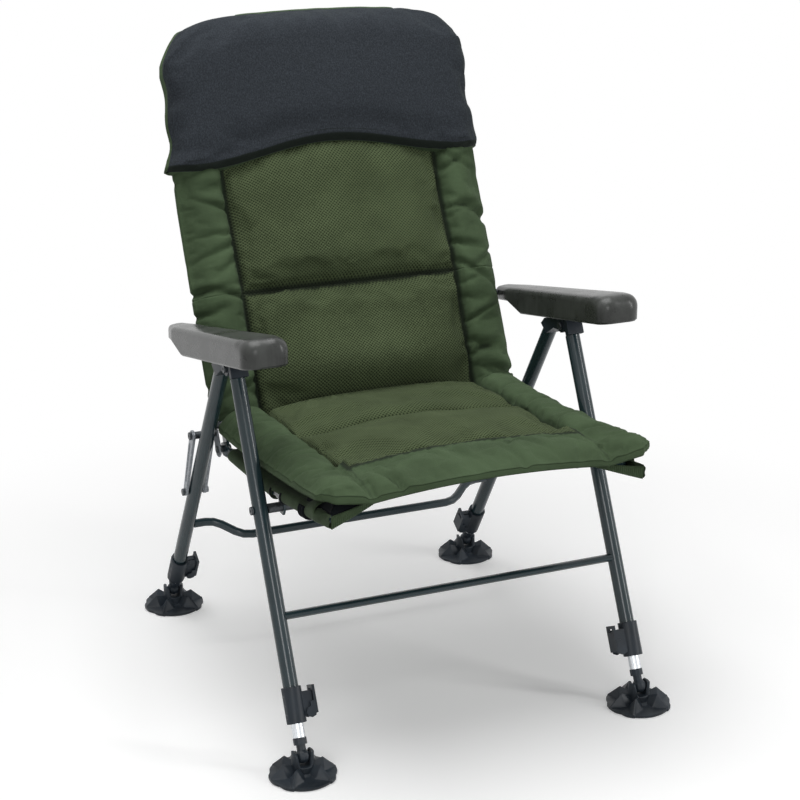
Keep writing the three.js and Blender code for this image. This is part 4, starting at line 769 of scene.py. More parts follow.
def mattress_material(name, sizes, panel_colour, panel_kind):
    """Cloth of a mattress: the panel's own cloth where its mark is above 0 and plain woven cloth elsewhere,
    both darker by the seam mark: dark thread and painted shade in the seams, painted shade in the creases."""
    material, tree, shader, place = start_material(name)
    uv, panel, seam = cloth_coordinates(tree)
    inside = ranged(tree, panel, -0.0006, 0.0006)
    cloud = noise(tree, place, 14, 4, 0.55)
    fuzz = noise(tree, place, 700, 2)
    threads = weave(tree, uv, 0.0009)
    worked = math_node(tree, "ADD", cloud, math_node(tree, "MULTIPLY", threads, 0.35))
    plain = sizes.plain_colour
    plain_shade = mix_colour(tree, ranged(tree, worked, 0.45, 1.0), tinted(plain, 0.66), tinted(plain))
    if panel_kind == "mesh":
        cell = holes(tree, uv, sizes.mesh_pitch)
        open_share = ranged(tree, cell, 0.24, 0.42, 1.0, 0.0)
        ground = mix_colour(tree, ranged(tree, cloud, 0.3, 0.7), tinted(panel_colour, 0.78), tinted(panel_colour))
        dark = math_node(tree, "MULTIPLY", open_share, 0.80)
        panel_shade = mix_colour(tree, dark, ground, (0.008, 0.012, 0.006, 1))
        ridge = ranged(tree, cell, 0.25, 0.70)
        panel_height = math_node(tree, "ADD", ridge, math_node(tree, "MULTIPLY", fuzz, 0.3))
        panel_depth = 0.0011
    else:
        nap = noise(tree, stretched(tree, place, (1.0, 1.0, 0.6)), 520, 3, 0.65)
        worn = ranged(tree, nap, 0.35, 0.72)
        panel_shade = mix_colour(tree, worn, tinted(panel_colour, 0.72), tinted(panel_colour, 1.32))
        panel_height, panel_depth = nap, 0.0006
    # Painted shade in part: the seam mark darkens the cloth towards near black, for dark thread and for the shade in
    # seams and creases
    seam_thread_and_shade = ranged(tree, seam, 0.45, 0.98, 0.0, 0.86)
    cloth = mix_colour(tree, inside, plain_shade, panel_shade)
    plain_height = math_node(tree, "ADD", threads, math_node(tree, "MULTIPLY", fuzz, 0.5))
    plain_normal, panel_normal = bumped(tree, plain_height, 0.35, 0.0005), bumped(tree, panel_height, 0.7, panel_depth)
    wrinkle = noise(tree, stretched(tree, place, (1.0, 1.0, 2.2)), 34, 3, 0.5)
    feed(tree, shader, {
        "Base Color": mix_colour(tree, seam_thread_and_shade, cloth, (0.010, 0.014, 0.010, 1)),
        "Normal": bumped(tree, wrinkle, 0.22, 0.006, mix_colour(tree, inside, plain_normal, panel_normal)),
        "Roughness": linear(tree, fuzz, 0.3, 0.7, 0.80, 0.95),
        "Specular IOR Level": 0.10,
        "Sheen Weight": 0.04,
        "Sheen Roughness": 0.45,
        "Sheen Tint": (0.70, 0.85, 0.62, 1),
    })
    return material


def plain_material(name, colour, sheen=0.04):
    """Plain cloth or tape on object coordinates: a fine noise for its threads, and clouds of wear."""
    material, tree, shader, place = start_material(name)
    threads = noise(tree, place, 1100, 2)
    worked = math_node(tree, "MULTIPLY", noise(tree, place, 22, 4, 0.6), math_node(tree, "ADD", threads, 0.5))
    feed(tree, shader, {
        "Base Color": mix_colour(tree, ranged(tree, worked, 0.3, 0.7), tinted(colour, 0.6), tinted(colour)),
        "Normal": bumped(tree, threads, 0.4, 0.0005),
        "Roughness": linear(tree, threads, 0.3, 0.7, 0.8, 0.95),
        "Sheen Weight": sheen,
        "Specular IOR Level": 0.10,
    })
    return material


def finish_of(name):
    """A material of the chair, made on its first use."""
    found = bpy.data.materials.get(f"chair_{name}")
    if found:
        return found
    scene = bpy.context.scene
    tubes, cloth, plastics = scene.chair_tubes, scene.chair_mattress, scene.chair_plastics
    makers = {
        "powder_coat": lambda: coat_material(tubes),
        "bright_tube": lambda: bright_material(tubes),
        "black_steel": lambda: steel_material("black_steel", (0.045, 0.050, 0.054), 0.7),
        "grey_plate": lambda: steel_material("grey_plate", (0.20, 0.215, 0.23), 0.75),
        "black_plastic": lambda: moulded_material("black_plastic", plastics.fitting_colour, 0.42, 0.12, 0.0),
        "arm_plastic": lambda: moulded_material("arm_plastic", plastics.arm_colour, 0.28, 0.04, 0.45),
        "mattress_cloth": lambda: mattress_material("mattress_cloth", cloth, cloth.mesh_colour, "mesh"),
        "headrest_cloth": lambda: mattress_material("headrest_cloth", cloth, cloth.head_colour, "brushed"),
        "sling_cloth": lambda: plain_material("sling_cloth", tinted(cloth.plain_colour, 0.80)[:3]),
        "black_tape": lambda: plain_material("black_tape", (0.007, 0.009, 0.011), 0.02),
    }
    return makers[name]()


def mount(piece, body, slot, *nodes):
    """Puts a piece on its body and hides the solids that it stands for; its slot, the name of its finish, is not used.
    """
    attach(piece, body)
    if nodes:
        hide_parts(*nodes)


def shading_group():
    """A modifier group that shades the faces it is given smooth."""
    group = bpy.data.node_groups.get("Shade smooth")
    if group:
        return group
    group = bpy.data.node_groups.new("Shade smooth", "GeometryNodeTree")
    group.interface.new_socket("Geometry", in_out="INPUT", socket_type="NodeSocketGeometry")
    group.interface.new_socket("Geometry", in_out="OUTPUT", socket_type="NodeSocketGeometry")
    given, made = group.nodes.new("NodeGroupInput"), group.nodes.new("NodeGroupOutput")
    shade = group.nodes.new("GeometryNodeSetShadeSmooth")
    group.links.new(given.outputs[0], shade.inputs[0])
    group.links.new(shade.outputs[0], made.inputs[0])
    return group


def dress_node(name, material, edge):
    """Gives a packed solid its material, welds its triangles and softens its edges."""
    node = frame["nodes"][name]
    node.data.materials.clear()
    node.data.materials.append(material)
    weld = node.modifiers.new("Weld", "WELD")
    weld.merge_threshold = 2e-5
    smooth_faces = node.modifiers.new("Smooth", "NODES")
    smooth_faces.node_group = shading_group()
    soft = node.modifiers.new("Soft edges", "BEVEL")
    soft.width = edge
    soft.segments = 2
    soft.limit_method = "ANGLE"
    soft.angle_limit = math.radians(34)
    flat = node.modifiers.new("Flat faces", "WEIGHTED_NORMAL")
    flat.keep_sharp = True


# Operators, one for each group of pieces


class ChairMattresses(bpy.types.Operator):
    """Make the seat and back mattresses, simulated as cloth over padding"""

    bl_idname = "chair.mattresses"
    bl_label = "Mattresses"

    def execute(self, context):
        sizes, tubes = context.scene.chair_mattress, context.scene.chair_tubes
        material = finish_of("mattress_cloth")
        x = spread(-PAD_HALF, PAD_HALF, 0.0048, (-PANEL_HALF, PANEL_HALF))
        y = -spread(-SEAT_REAR_EDGE, -SEAT_FRONT_EDGE, 0.0036, (-SEAT_SPLIT,))
        split = int(np.argmin(np.abs(y - SEAT_SPLIT)))
        xs, ys = np.meshgrid(x, y)
        heights, panel, seam = seat_heights(xs, ys, sizes)
        base = seat_base(xs, ys, tubes.seat_radius)
        heights = np.maximum(heights, base + 0.009)
        corner = 0.010 * smooth((np.abs(xs) - 0.262) / 0.026) * smooth((-ys - 0.380) / 0.024)
        top, bottom = (np.stack([xs - np.sign(xs) * corner, ys + corner, h], -1) for h in (heights, base))
        held = (np.abs(xs) > PAD_HALF - EDGE_REACH) | (ys > SEAT_REAR_EDGE - EDGE_REACH)
        held |= (ys < SEAT_FRONT_EDGE + EDGE_REACH) | (seam > STITCHED)
        top = puff(top, held * 1.0, pressure=1.6, growth=0.045, limit=0.006)
        uv = np.stack([xs, -ys], -1)
        for name, rows, body, node, flat in (
            ("seat_mattress_rear", slice(0, split + 1), "seat", "seat_cushion_rear", (-1,)),
            ("seat_mattress_front", slice(split, None), "seat", "seat_cushion_front", (0,)),
        ):
            pad = pad_piece(name, top[rows], bottom[rows], uv[rows], panel[rows], seam[rows], material, flat)
            mount(pad, body, "mesh_cloth", node)
            if node == "seat_cushion_rear":
                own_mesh(pad)

        x = spread(-PAD_HALF, PAD_HALF, 0.0056, (-PANEL_HALF, PANEL_HALF))
        z = spread(BACK_LOW - BACK_TUCK, HEAD_LOW, 0.0030, (BACK_SPLIT,))
        split = int(np.argmin(np.abs(z - BACK_SPLIT)))
        xs, zs = np.meshgrid(x, z)
        offsets, panel, seam, dent = back_heights(xs, zs, sizes)
        base = back_base(xs, zs, tubes.back_radius)
        offsets = np.maximum(offsets, base + 0.006)
        share = clamp((zs - BACK_SPLIT) / (HEAD_LOW - BACK_SPLIT))
        tucked = clamp((BACK_LOW - zs) / BACK_TUCK)
        risen = zs + np.square(share) * head_arch(xs) + 0.018 * tucked * smooth((np.abs(xs) - 0.205) / 0.055)
        drawn = xs - np.sign(xs) * clamp(dent) * 0.006 * smooth((np.abs(xs) - 0.25) / 0.038)
        top, bottom = back_place(drawn, risen, offsets), back_place(drawn, risen, base)
        held = (np.abs(xs) > PAD_HALF - EDGE_REACH) | (zs < BACK_LOW - BACK_TUCK + EDGE_REACH)
        held |= (zs > HEAD_LOW - EDGE_REACH) | (seam > STITCHED)
        top = puff(top, held * 1.0, pressure=1.6, growth=0.05, limit=0.006)
        uv = np.stack([xs, zs], -1)
        for name, rows, node, flat in (
            ("back_mattress_lower", slice(0, split + 1), "back_cushion_lower", (-1,)),
            ("back_mattress_upper", slice(split, None), "back_cushion_upper", (0, -1)),
        ):
            pad = pad_piece(name, top[rows], bottom[rows], uv[rows], panel[rows], seam[rows], material, flat)
            mount(pad, "back", "mesh_cloth", node)
            if node == "back_cushion_lower":
                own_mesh(pad)
        return {"FINISHED"}


class ChairHeadrest(bpy.types.Operator):
    """Make the padded headrest cap over the top of the back"""

    bl_idname = "chair.headrest"
    bl_label = "Headrest"

    def execute(self, context):
        even_u, even_v = np.linspace(-1, 1, 97), np.linspace(0, 1, 61)
        u = 0.55 * np.sin(even_u * PI / 2) + 0.45 * even_u
        v = 0.5 * (0.5 - 0.5 * np.cos(even_v * PI)) + 0.5 * even_v
        us, vs = np.meshgrid(u, v)
        half = 0.297 - 0.011 * smooth(vs / 0.35)
        xs = us * half
        a = np.abs(us)
        corner = 0.046 * (1 - quarter((a - 0.84) / 0.16))
        high = HEAD_TOP - 0.014 * a**2 - 0.034 * a**6 - corner
        low = HEAD_LOW + head_arch(xs) - 0.006
        zs = low + vs * (high - low)
        side_gap = half - np.abs(xs)
        top_gap, low_gap = high - zs, zs - low
        gap = np.minimum(side_gap, top_gap * 0.9)
        rise, lip = quarter(1 - gap / 0.046), quarter(1 - low_gap / 0.012)
        rng = np.random.default_rng(5)
        around = np.where(top_gap < side_gap, xs + 0.5, np.sign(xs) * (1.6 - zs) + 2.5)
        gather = sum(np.sin(around * f + p) for f, p in zip((58, 91, 143), rng.uniform(0, 6, 3))) / 3
        gather = gather * near(gap, 0.026) * 0.0040
        offsets = 0.020 + 0.032 * rise - 0.014 * (1 - lip) + gather
        sag = 0.003 * np.sin(xs * 9 + 1) * np.sin(vs * 5) - 0.003 * near(low_gap - 0.030, 0.014)
        wander = 0.0024 * np.sin(zs * 71 + np.sign(xs)) * near(side_gap, 0.02) * np.sign(xs)
        top = back_place(xs + wander, zs, offsets + sag)
        back = -0.021 * np.sqrt(clamp(1 - np.abs(us) ** 12)) * (1 - vs**12)
        bottom = back_place(xs + wander, zs, back)
        held = np.minimum.reduce([side_gap, top_gap, low_gap]) < 1e-4
        top = puff(top, held * 1.0, pressure=1.2, growth=0.02, limit=0.004)
        uv = np.stack([lengths(top, 1), lengths(top, 0)], -1)
        seam = np.maximum(0.8 * near(low_gap - 0.014, 0.0016), smooth((0.011 - low_gap) / 0.004))
        panel = np.full_like(xs, 0.05)
        rim = ((0.05, 0.0022, 0), (0.12, 0.0006, 1), (0.22, 0.0035, 0), (0.50, 0.005, 0), (0.75, 0.004, 0),
               (0.92, 0.002, 0))
        cap = pad_piece("headrest_cap", top, bottom, uv, panel, seam, finish_of("headrest_cloth"), rim=rim)
        mount(cap, "back", "head_cloth", "headrest")
        return {"FINISHED"}


def sheet_piece(name, outer, inner, material, kept=None):
    """A thin sheet from a grid of each of its faces: the cells that are kept, on both faces, and a narrow
    band wherever a kept cell meets none."""
    rows, columns = outer.shape[:2]
    n = np.arange(rows * columns).reshape(rows, columns)
    kept = np.ones((rows - 1, columns - 1), bool) if kept is None else kept
    grid = grid_faces(rows, columns)[kept.ravel()]
    around = np.pad(kept, 1)
    along = around[1:, 1:-1] != around[:-1, 1:-1]
    across = around[1:-1, 1:] != around[1:-1, :-1]
    start = np.concatenate([n[:, :-1][along], n[:-1][across]])
    end = np.concatenate([n[:, 1:][along], n[1:][across]])
    total = rows * columns
    band = np.stack([start, end, end + total, start + total], -1)
    points = np.concatenate([outer.reshape(-1, 3), inner.reshape(-1, 3)])
    piece = make_piece(name, points, np.concatenate([grid, grid[:, ::-1] + total, band]), material, closed=False)
    mesh = bmesh.new()
    mesh.from_mesh(piece.data)
    bmesh.ops.delete(mesh, geom=[v for v in mesh.verts if not v.link_faces], context="VERTS")
    bmesh.ops.recalc_face_normals(mesh, faces=mesh.faces)
    mesh.to_mesh(piece.data)
    mesh.free()
    return piece


def hook_section(reach, sag, steps=12):
    """Section of a sheet that crosses between two rails and hooks round their outer sides: an arc over each
    rail from above, down its outer side and under it, and a shallow parabola between."""
    turn = np.linspace(PI / 2, -PI * 0.56, steps)
    x, n = RAIL_PLANE + reach * np.cos(turn), reach * np.sin(turn)
    across = np.linspace(-RAIL_PLANE, RAIL_PLANE, 35)[1:-1]
    level = reach - sag * (1 - np.square(across / RAIL_PLANE))
    return np.concatenate([-x[::-1], across, x]), np.concatenate([n[::-1], level, n])


def sleeve_end(side, reach):
    """Rings of a sleeve past the rail's bend: an arc from above the rail round its outer side and under it,
    pressed flat sideways and drawn to a point in front by a smooth share."""
    y = np.linspace(-0.345, -0.399, 16)[:, None]
    turn = np.linspace(0.50 * PI, -0.86 * PI, 24)[None]
    share = smooth((-0.345 - y) / 0.054)
    x = RAIL_PLANE + 0.002 * share + reach * np.cos(turn) * (1 - 0.72 * share)
    z = rail_height(y) + reach * np.sin(turn) * (1 - 0.10 * share)
    ripple = 0.0010 * np.sin(turn * 5 + y * 160) * share
    return np.stack([side * (x + ripple), y + 0 * x, z], -1)


def front_hem(side):
    """Taped hem across the seat's corner: straight from the sleeve's tip up and inwards, its width falling
    evenly, with fine upright ribs."""
    along, across = np.meshgrid(np.linspace(0, 1, 120), np.linspace(0, 1, 6), indexing="ij")
    low = np.array([0.2690, -0.3990, 0.4345]) + along[..., None] * np.array([-0.088, 0.016, 0.0300])
    high = np.array([0.2700, -0.4000, 0.4560]) + along[..., None] * np.array([-0.089, 0.017, 0.0140])
    hem = low + across[..., None] * (high - low)
    hem[..., 1] -= 0.0007 * np.sin(along * 2 * PI * 26) + 0.002 * np.sin(PI * along)
    return hem * (side, 1, 1)


def pocket_shade_sheet():
    """A black sheet that paints the shade inside the open pocket on the left: it stands along the sleeve's top
    and the hem's and leans inwards."""
    back = np.linspace(-0.286, -0.396, 24)
    beside = np.stack([np.full(24, 0.2690), back, rail_height(back) + 0.0105], -1)
    ahead = np.array([0.2680, -0.3985, 0.4545]) + np.linspace(0, 1, 30)[1:, None] * np.array([-0.098, 0.019, 0.0150])
    foot = np.concatenate([beside, ahead])
    lean = np.concatenate([np.tile([-0.014, 0.0, 0.019], (22, 1)), np.tile([-0.010, 0.010, 0.019], (2, 1)),
                           np.tile([0.0, 0.014, 0.015], (29, 1))])
    share = np.linspace(0, 1, 5)[None, :, None]
    return (foot[:, None] + share * lean[:, None]) * (-1, 1, 1)


class ChairSlings(bpy.types.Operator):
    """Make the seat and back slings with their rail sleeves, and the sleeve ends under the seat's corners"""

    bl_idname = "chair.slings"
    bl_label = "Slings"

    def execute(self, context):
        tubes = context.scene.chair_tubes
        cloth, tape = finish_of("sling_cloth"), finish_of("black_tape")
        faces = []
        y = np.linspace(*SEAT_SLING_SPAN, 90)
        for out in SLING_FACES:
            x, n = hook_section(tubes.seat_radius + out, 0.004)
            xs, ys = np.meshgrid(x, y)
            faces.append(np.stack([xs, ys, rail_height(ys) + n + bar_lift(xs, ys, 0.008) * (n > 0)], -1))
        # The sleeves leave the rails' outer sides free at the seat pivots
        middle = (y[1:] + y[:-1])[:, None] / 2
        side = np.abs(x[1:] + x[:-1])[None] / 2
        under = (n[1:] + n[:-1])[None] / 2
        notch = (np.abs(middle - SEAT_PIVOT[0]) < 0.023) & (side > 0.25) & (under < 0.005)
        sling = sheet_piece("seat_sling_cloth", *faces, cloth, ~notch)
        mount(sling, "seat", "green_cloth", "seat_sling")
        trim = []
        for hand, side in SIDES.items():
            # Two bindings beside the notch for the seat pivot, then three at the sleeve's front seam
            for number, at in enumerate((SEAT_PIVOT[0] + 0.024, SEAT_PIVOT[0] - 0.024, -0.292, -0.300, -0.308)):
                turn = np.linspace(PI * 0.2, -PI * 0.62, 14)
                reach = tubes.seat_radius + (0.0018 if number < 2 else 0.0042)
                x, z = side * (RAIL_PLANE + reach * np.cos(turn)), rail_height(at) + reach * np.sin(turn)
                path = np.stack([x, np.full(14, at), z], -1)
                trim.append(cord(f"sleeve_binding_{number}_{hand}", path, 0.0026, tape, (0, 1, 0)))
            sleeve = [sleeve_end(side, tubes.seat_radius + out) for out in (0.0028, 0.0012)]
            trim.append(sheet_piece(f"sleeve_end_{hand}", *sleeve, cloth))
            hem = front_hem(side)
            trim.append(sheet_piece(f"front_hem_{hand}", hem, hem + (0, 0.0016, 0), cloth))
        # Painted shade: a black sheet in the open pocket on the left, where the inside lies in shadow
        shade_sheet = pocket_shade_sheet()
        trim.append(sheet_piece("pocket_shade_sheet_left", shade_sheet, shade_sheet + (0.0012, 0.0012, 0), tape))
        for piece in trim:
            mount(piece, "seat", "green_cloth")

        z = np.linspace(*BACK_SLING_SPAN, 66)
        faces = []
        for out in SLING_FACES:
            x, n = hook_section(tubes.back_radius + out, 0.006)
            xs, zs = np.meshgrid(x, z)
            faces.append(back_place(xs, zs, np.tile(n, (len(z), 1))))
        sling = sheet_piece("back_sling_cloth", *faces, cloth)
        mount(sling, "back", "green_cloth", "back_sling")
        return {"FINISHED"}


class ChairTubework(bpy.types.Operator):
    """Make the leg tubes and the telescopic legs"""

    bl_idname = "chair.tubework"
    bl_label = "Tubework"

    def execute(self, context):
        tubes = context.scene.chair_tubes
        coat, bright = finish_of("powder_coat"), finish_of("bright_tube")
        across = (1, 0, 0)
        for end in ENDS:
            body = "front_frame" if end == "front" else "rear_legs"
            for hand, side in SIDES.items():
                ends = [on_leg(end, side, CLAMP_FOOT[end] + TUBE_IN_CLAMP), on_leg(end, side, LEG_TOP[end])]
                path = ends[0] + np.linspace(0, 1, 9)[:, None] * (ends[1] - ends[0])
                tube = pipe(f"{end}_leg_tube_{hand}", path, tubes.leg_radius, tubes.wall, across, coat)
                mount(tube, body, "powder_coat", f"{end}_leg_{hand}")
                low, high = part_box(f"{end}_inner_leg_{hand}")
                lean = LEG_LEAN[end]
                reach = (high[2] - low[2] - 2 * tubes.inner_radius * abs(math.sin(lean))) / math.cos(lean)
                ends = [on_leg(end, side, INNER_FOOT), on_leg(end, side, INNER_FOOT + reach)]
                inner = pipe(f"{end}_inner_tube_{hand}", ends, tubes.inner_radius, 0.0013, across, bright)
                mount(inner, f"{end}_{hand}_inner_leg", "bright_tube", f"{end}_inner_leg_{hand}")
        return {"FINISHED"}


class ChairArmrests(bpy.types.Operator):
    """Make the hollow armrests"""

    bl_idname = "chair.armrests"
    bl_label = "Armrests"

    def execute(self, context):
        material = finish_of("arm_plastic")
        for hand, side in SIDES.items():
            shell = armrest(f"armrest_shell_{hand}", side, material)
            mount(shell, "armrests", "arm_plastic", f"armrest_{hand}")
        return {"FINISHED"}


def arm_top(y):
    """Height of an armrest's top edge line."""
    return 0.610 + (ARM_STEP[0] - y) * ARM_SLOPE


def arm_depth(y):
    """Depth of an armrest's side: thin at the rear, a slanting step, then full to the front."""
    return 0.023 + 0.022 * clamp((ARM_STEP[0] - y) / (ARM_STEP[0] - ARM_STEP[1]))


def arm_outline(inset):
    """Plan outline of an armrest as distances from the middle and from the rear: straight outer side, blunt
    rounded front, inner side that swings inwards, and a small rounded rear end."""
    corners = np.array([
        [0.317, ARM_REAR - inset], [0.334 - inset, ARM_REAR - inset], [0.347 - inset, ARM_STEP[0]],
        [0.348 - inset, ARM_TIP + inset], [0.270 + inset, ARM_TIP + inset], [0.292 + inset, ARM_STEP[1]],
        [0.292 + inset, ARM_STEP[0]], [0.300 + inset, ARM_REAR - inset], [0.317, ARM_REAR - inset],
    ])
    radii = [0.007, 0.05, 0.026 - inset, 0.022 - inset, 0.2, 0.1, 0.007]
    path = [corners[0]]
    for before, corner, after, radius in zip(corners[:-2], corners[1:-1], corners[2:], radii):
        radius = max(radius, 0.002)
        u, v = unit(before - corner), unit(after - corner)
        half = math.acos(np.clip(u @ v, -1, 1)) / 2
        turn = PI - 2 * half
        room = 0.45 * min(np.linalg.norm(before - corner), np.linalg.norm(after - corner))
        reach = min(radius / math.tan(half), room)
        radius = reach * math.tan(half)
        centre = corner + unit(u + v) * radius / math.sin(half)
        start, end = corner + u * reach - centre, corner + v * reach - centre
        share = np.linspace(0, 1, 11)[:, None]
        path.extend(centre + (np.sin((1 - share) * turn) * start + np.sin(share * turn) * end) / math.sin(turn))
    closed = np.vstack([path, path[:1]])
    length = lengths(closed, 0)
    at = np.linspace(0, length[-1], 221)[:-1]
    return np.stack([np.interp(at, length, closed[:, 0]), np.interp(at, length, closed[:, 1])], -1)


def arm_rings(side, inset):
    """Rings of one face of the armrest: up the side, over a quarter round, then in to the spine, each ring the
    outline drawn towards the spine by its share."""
    outline = arm_outline(inset)
    x, y = outline[:, 0], outline[:, 1]
    spine_y = np.clip(y, ARM_TIP + 0.040, ARM_REAR - 0.016)
    spine_x = np.interp(spine_y, [ARM_TIP, ARM_STEP[1], ARM_STEP[0], ARM_REAR], [0.309, 0.3195, 0.3195, 0.317])
    edge = np.interp(y, [ARM_TIP + 0.004, ARM_TIP + 0.05, ARM_REAR], [0.026, 0.013, 0.009]) - inset
    depth = arm_depth(y)
    reach = np.hypot(x - spine_x, y - spine_y)
    rings = []
    for share in (0.0, 0.04, 0.3, 0.7, 1.0):
        rings.append((np.zeros_like(x), -depth + share * (depth - edge)))
    for turn in np.linspace(0, PI / 2, 8)[1:]:
        rings.append((edge * (1 - math.cos(turn)), -edge * (1 - math.sin(turn))))
    for share in (0.2, 0.45, 0.7, 1.0):
        inward = edge + (reach - edge) * share
        rings.append((inward, 0.0016 * (1 - (1 - share) ** 2) * np.ones_like(x)))
    points = []
    for inward, lift in rings:
        share = clamp(inward / np.maximum(reach, 1e-6))
        px, py = x + (spine_x - x) * share, y + (spine_y - y) * share
        points.append(np.stack([side * px, py, arm_top(py) - inset + lift], -1))
    return np.array(points)


def armrest(name, side, material):
    """An armrest's shell: the outer face, the inner face back to the lower edge, and the edge between."""
    outer, inner = arm_rings(side, 0.0), arm_rings(side, 0.003)[::-1]
    spine = len(outer)
    rings = np.concatenate([outer, inner])
    columns = rings.shape[1]
    faces = grid_faces(len(rings), columns, wrap_rows=True, wrap_columns=True)
    joint = faces.min(1) // columns == spine - 1
    bridge = joint & (faces.max(1) // columns == spine)
    return make_piece(name, rings, faces[~bridge], material, sharp=48)


class ChairFeet(bpy.types.Operator):
    """Make the mud feet"""

    bl_idname = "chair.feet"
    bl_label = "Feet"

    def execute(self, context):
        material = finish_of("black_plastic")
        for end in ENDS:
            for hand, side in SIDES.items():
                foot = mud_foot(f"{end}_mud_foot_{hand}", side * LEG_PLANE, LEG_BALL[end], material)
                mount(foot, f"{end}_{hand}_foot", "black_plastic", f"{end}_foot_{hand}")
        return {"FINISHED"}


def turn_apart(turns, way):
    """Angle between each turn and a way, from 0 to half a turn."""
    return np.abs((turns - way + PI) % (2 * PI) - PI)


def mud_foot(name, x, y, material):
    """A round foot on a polar grid: a sole, a bevelled rim whose radius dips between the lugs, pyramid lugs that
    stand on the plate, and a cup whose wall is high at the sides and low at the front and the rear."""
    hub, full = 0.0185, 0.0555
    front, rear = -PI / 2, PI / 2
    turns = np.linspace(0, 2 * PI, 168, endpoint=False)
    lugs = np.radians([-90 - 140, -90 - 89, -90 - 38, -90 + 38, -90 + 89, -90 + 140, 90])
    apart = turn_apart(turns[:, None], lugs)
    rim = full - 0.0035 * smooth((apart.min(1) - 0.18) / 0.35)
    rim = np.where(turn_apart(turns, front) < 0.62, full - 0.002, rim)

    share = np.linspace(0, 1, 34)
    radii = hub + (rim - hub) * share[:, None]
    r = hub + (full - hub) * share
    lateral = np.where(apart < PI / 2, r[:, None, None] * np.sin(apart), 1.0)
    ridge = np.interp(r, [0.017, 0.034, 0.0545], [0.022, 0.0275, 0.0085])
    plate = np.interp(r, [0.017, 0.024, 0.050, full], [0.012, 0.0085, 0.0062, 0.0052])
    deck = np.maximum((ridge[:, None, None] - 1.55 * lateral).max(-1), plate[:, None])
    deck[-1] = np.minimum(deck[-1], 0.0070)
    cup = 0.022 + 0.021 * smooth((np.minimum(turn_apart(turns, front), turn_apart(turns, rear)) - 0.50) / 0.55)
    floor = 0.0215
    rings = [(0, 0), (rim - 0.002, 0), (rim, 0.0015), *zip(radii[::-1], deck[::-1])]
    rings += [(0.0183, np.maximum(cup - 0.001, deck[0])), (0.0175, np.maximum(cup, deck[0]))]
    rings += [(0.0140, cup), (0.0132, cup - 0.001), (0.0130, floor), (0, floor)]
    points = np.array([np.stack([x + r * np.cos(turns), y + r * np.sin(turns), z + 0 * turns], -1) for r, z in rings])
    return make_piece(name, points, grid_faces(len(points), len(turns), wrap_columns=True), material, sharp=28)


class ChairFittings(bpy.types.Operator):
    """Make the bolts, and dress the frames, crossbars, plates, links, hinges, clamps and stems"""

    bl_idname = "chair.fittings"
    bl_label = "Fittings"

    def execute(self, context):
        edge = context.scene.chair_plastics.edge
        steel, plate, plastic = finish_of("black_steel"), finish_of("grey_plate"), finish_of("black_plastic")
        coat = finish_of("powder_coat")
        gap, head, leg, fork = 0.0003, 0.004, 0.0125, 0.0153
        tube_in, tube_out = LEG_PLANE - leg - gap, LEG_PLANE + leg + gap
        plate_in = RAIL_PLANE + 0.011 + gap
        plate_out = plate_in + 0.0034
        link_in = (LEG_PLANE - leg - 0.0072, LEG_PLANE - leg - 0.0022)
        link_out = (LEG_PLANE + leg + 0.0022, LEG_PLANE + leg + 0.0072)
        bolts = {
            "seat_pivot": (SEAT_PIVOT, tube_in - 0.044, [
                (tube_in, 0.008), (tube_out, 0.004), (tube_out + head, 0.007)]),
            "leg_hinge_bolt": (LEG_HINGE, LEG_PLANE - fork - head, [
                (LEG_PLANE - fork, 0.007), (LEG_PLANE + fork, 0.004), (LEG_PLANE + fork + head, 0.007)]),
            "link_top_bolt": (LINK_TOP, plate_in + gap, [
                (plate_out + gap, 0.004), (link_in[0] - gap, 0.0065), (link_in[1] + gap, 0.004),
                (link_out[0] - gap, 0.0065), (link_out[1] + gap, 0.004), (link_out[1] + gap + head, 0.007)]),
        }
        bodies = {n: b for b, ns in frame["record"]["behaviour"]["bodies"].items() for n in ns}
        for key, (place, start, steps) in bolts.items():
            for hand, side in SIDES.items():
                node = f"{key}_{hand}"
                mount(bolt(f"{key}_turned_{hand}", place, side, start, steps, steel), bodies[node], "dark_steel", node)
        shown = {
            coat: ["seat_frame", "back_frame", "front_crossbar", "rear_crossbar"],
            steel: ["seat_hinge_bolt", "link_foot_bolt", "armrest_pivot_bolt"],
            plate: ["hinge_plate", "link_inner", "link_outer"],
            plastic: ["front_hinge_block", "rear_hinge_fork", "front_clamp", "rear_clamp", "front_clamp_lever",
                      "rear_clamp_lever", "front_ball_stem", "rear_ball_stem"],
        }
        for material, names in shown.items():
            for name in names:
                for node in ([name] if name in frame["nodes"] else [f"{name}_left", f"{name}_right"]):
                    dress_node(node, material, edge)
        return {"FINISHED"}


def seen_rays(tree):
    """1 for the rays by which a thing is seen, straight or in a gloss or through glass, and 0 for the others."""
    rays = add_node(tree, "ShaderNodeLightPath").outputs
    seen = math_node(tree, "MAXIMUM", rays["Is Glossy Ray"], rays["Is Transmission Ray"])
    return math_node(tree, "MAXIMUM", rays["Is Camera Ray"], seen)


def white_light(tree, strength):
    """White emission at a strength."""
    return add_node(tree, "ShaderNodeEmission", None, {"Color": (1, 1, 1, 1), "Strength": strength}).outputs[0]


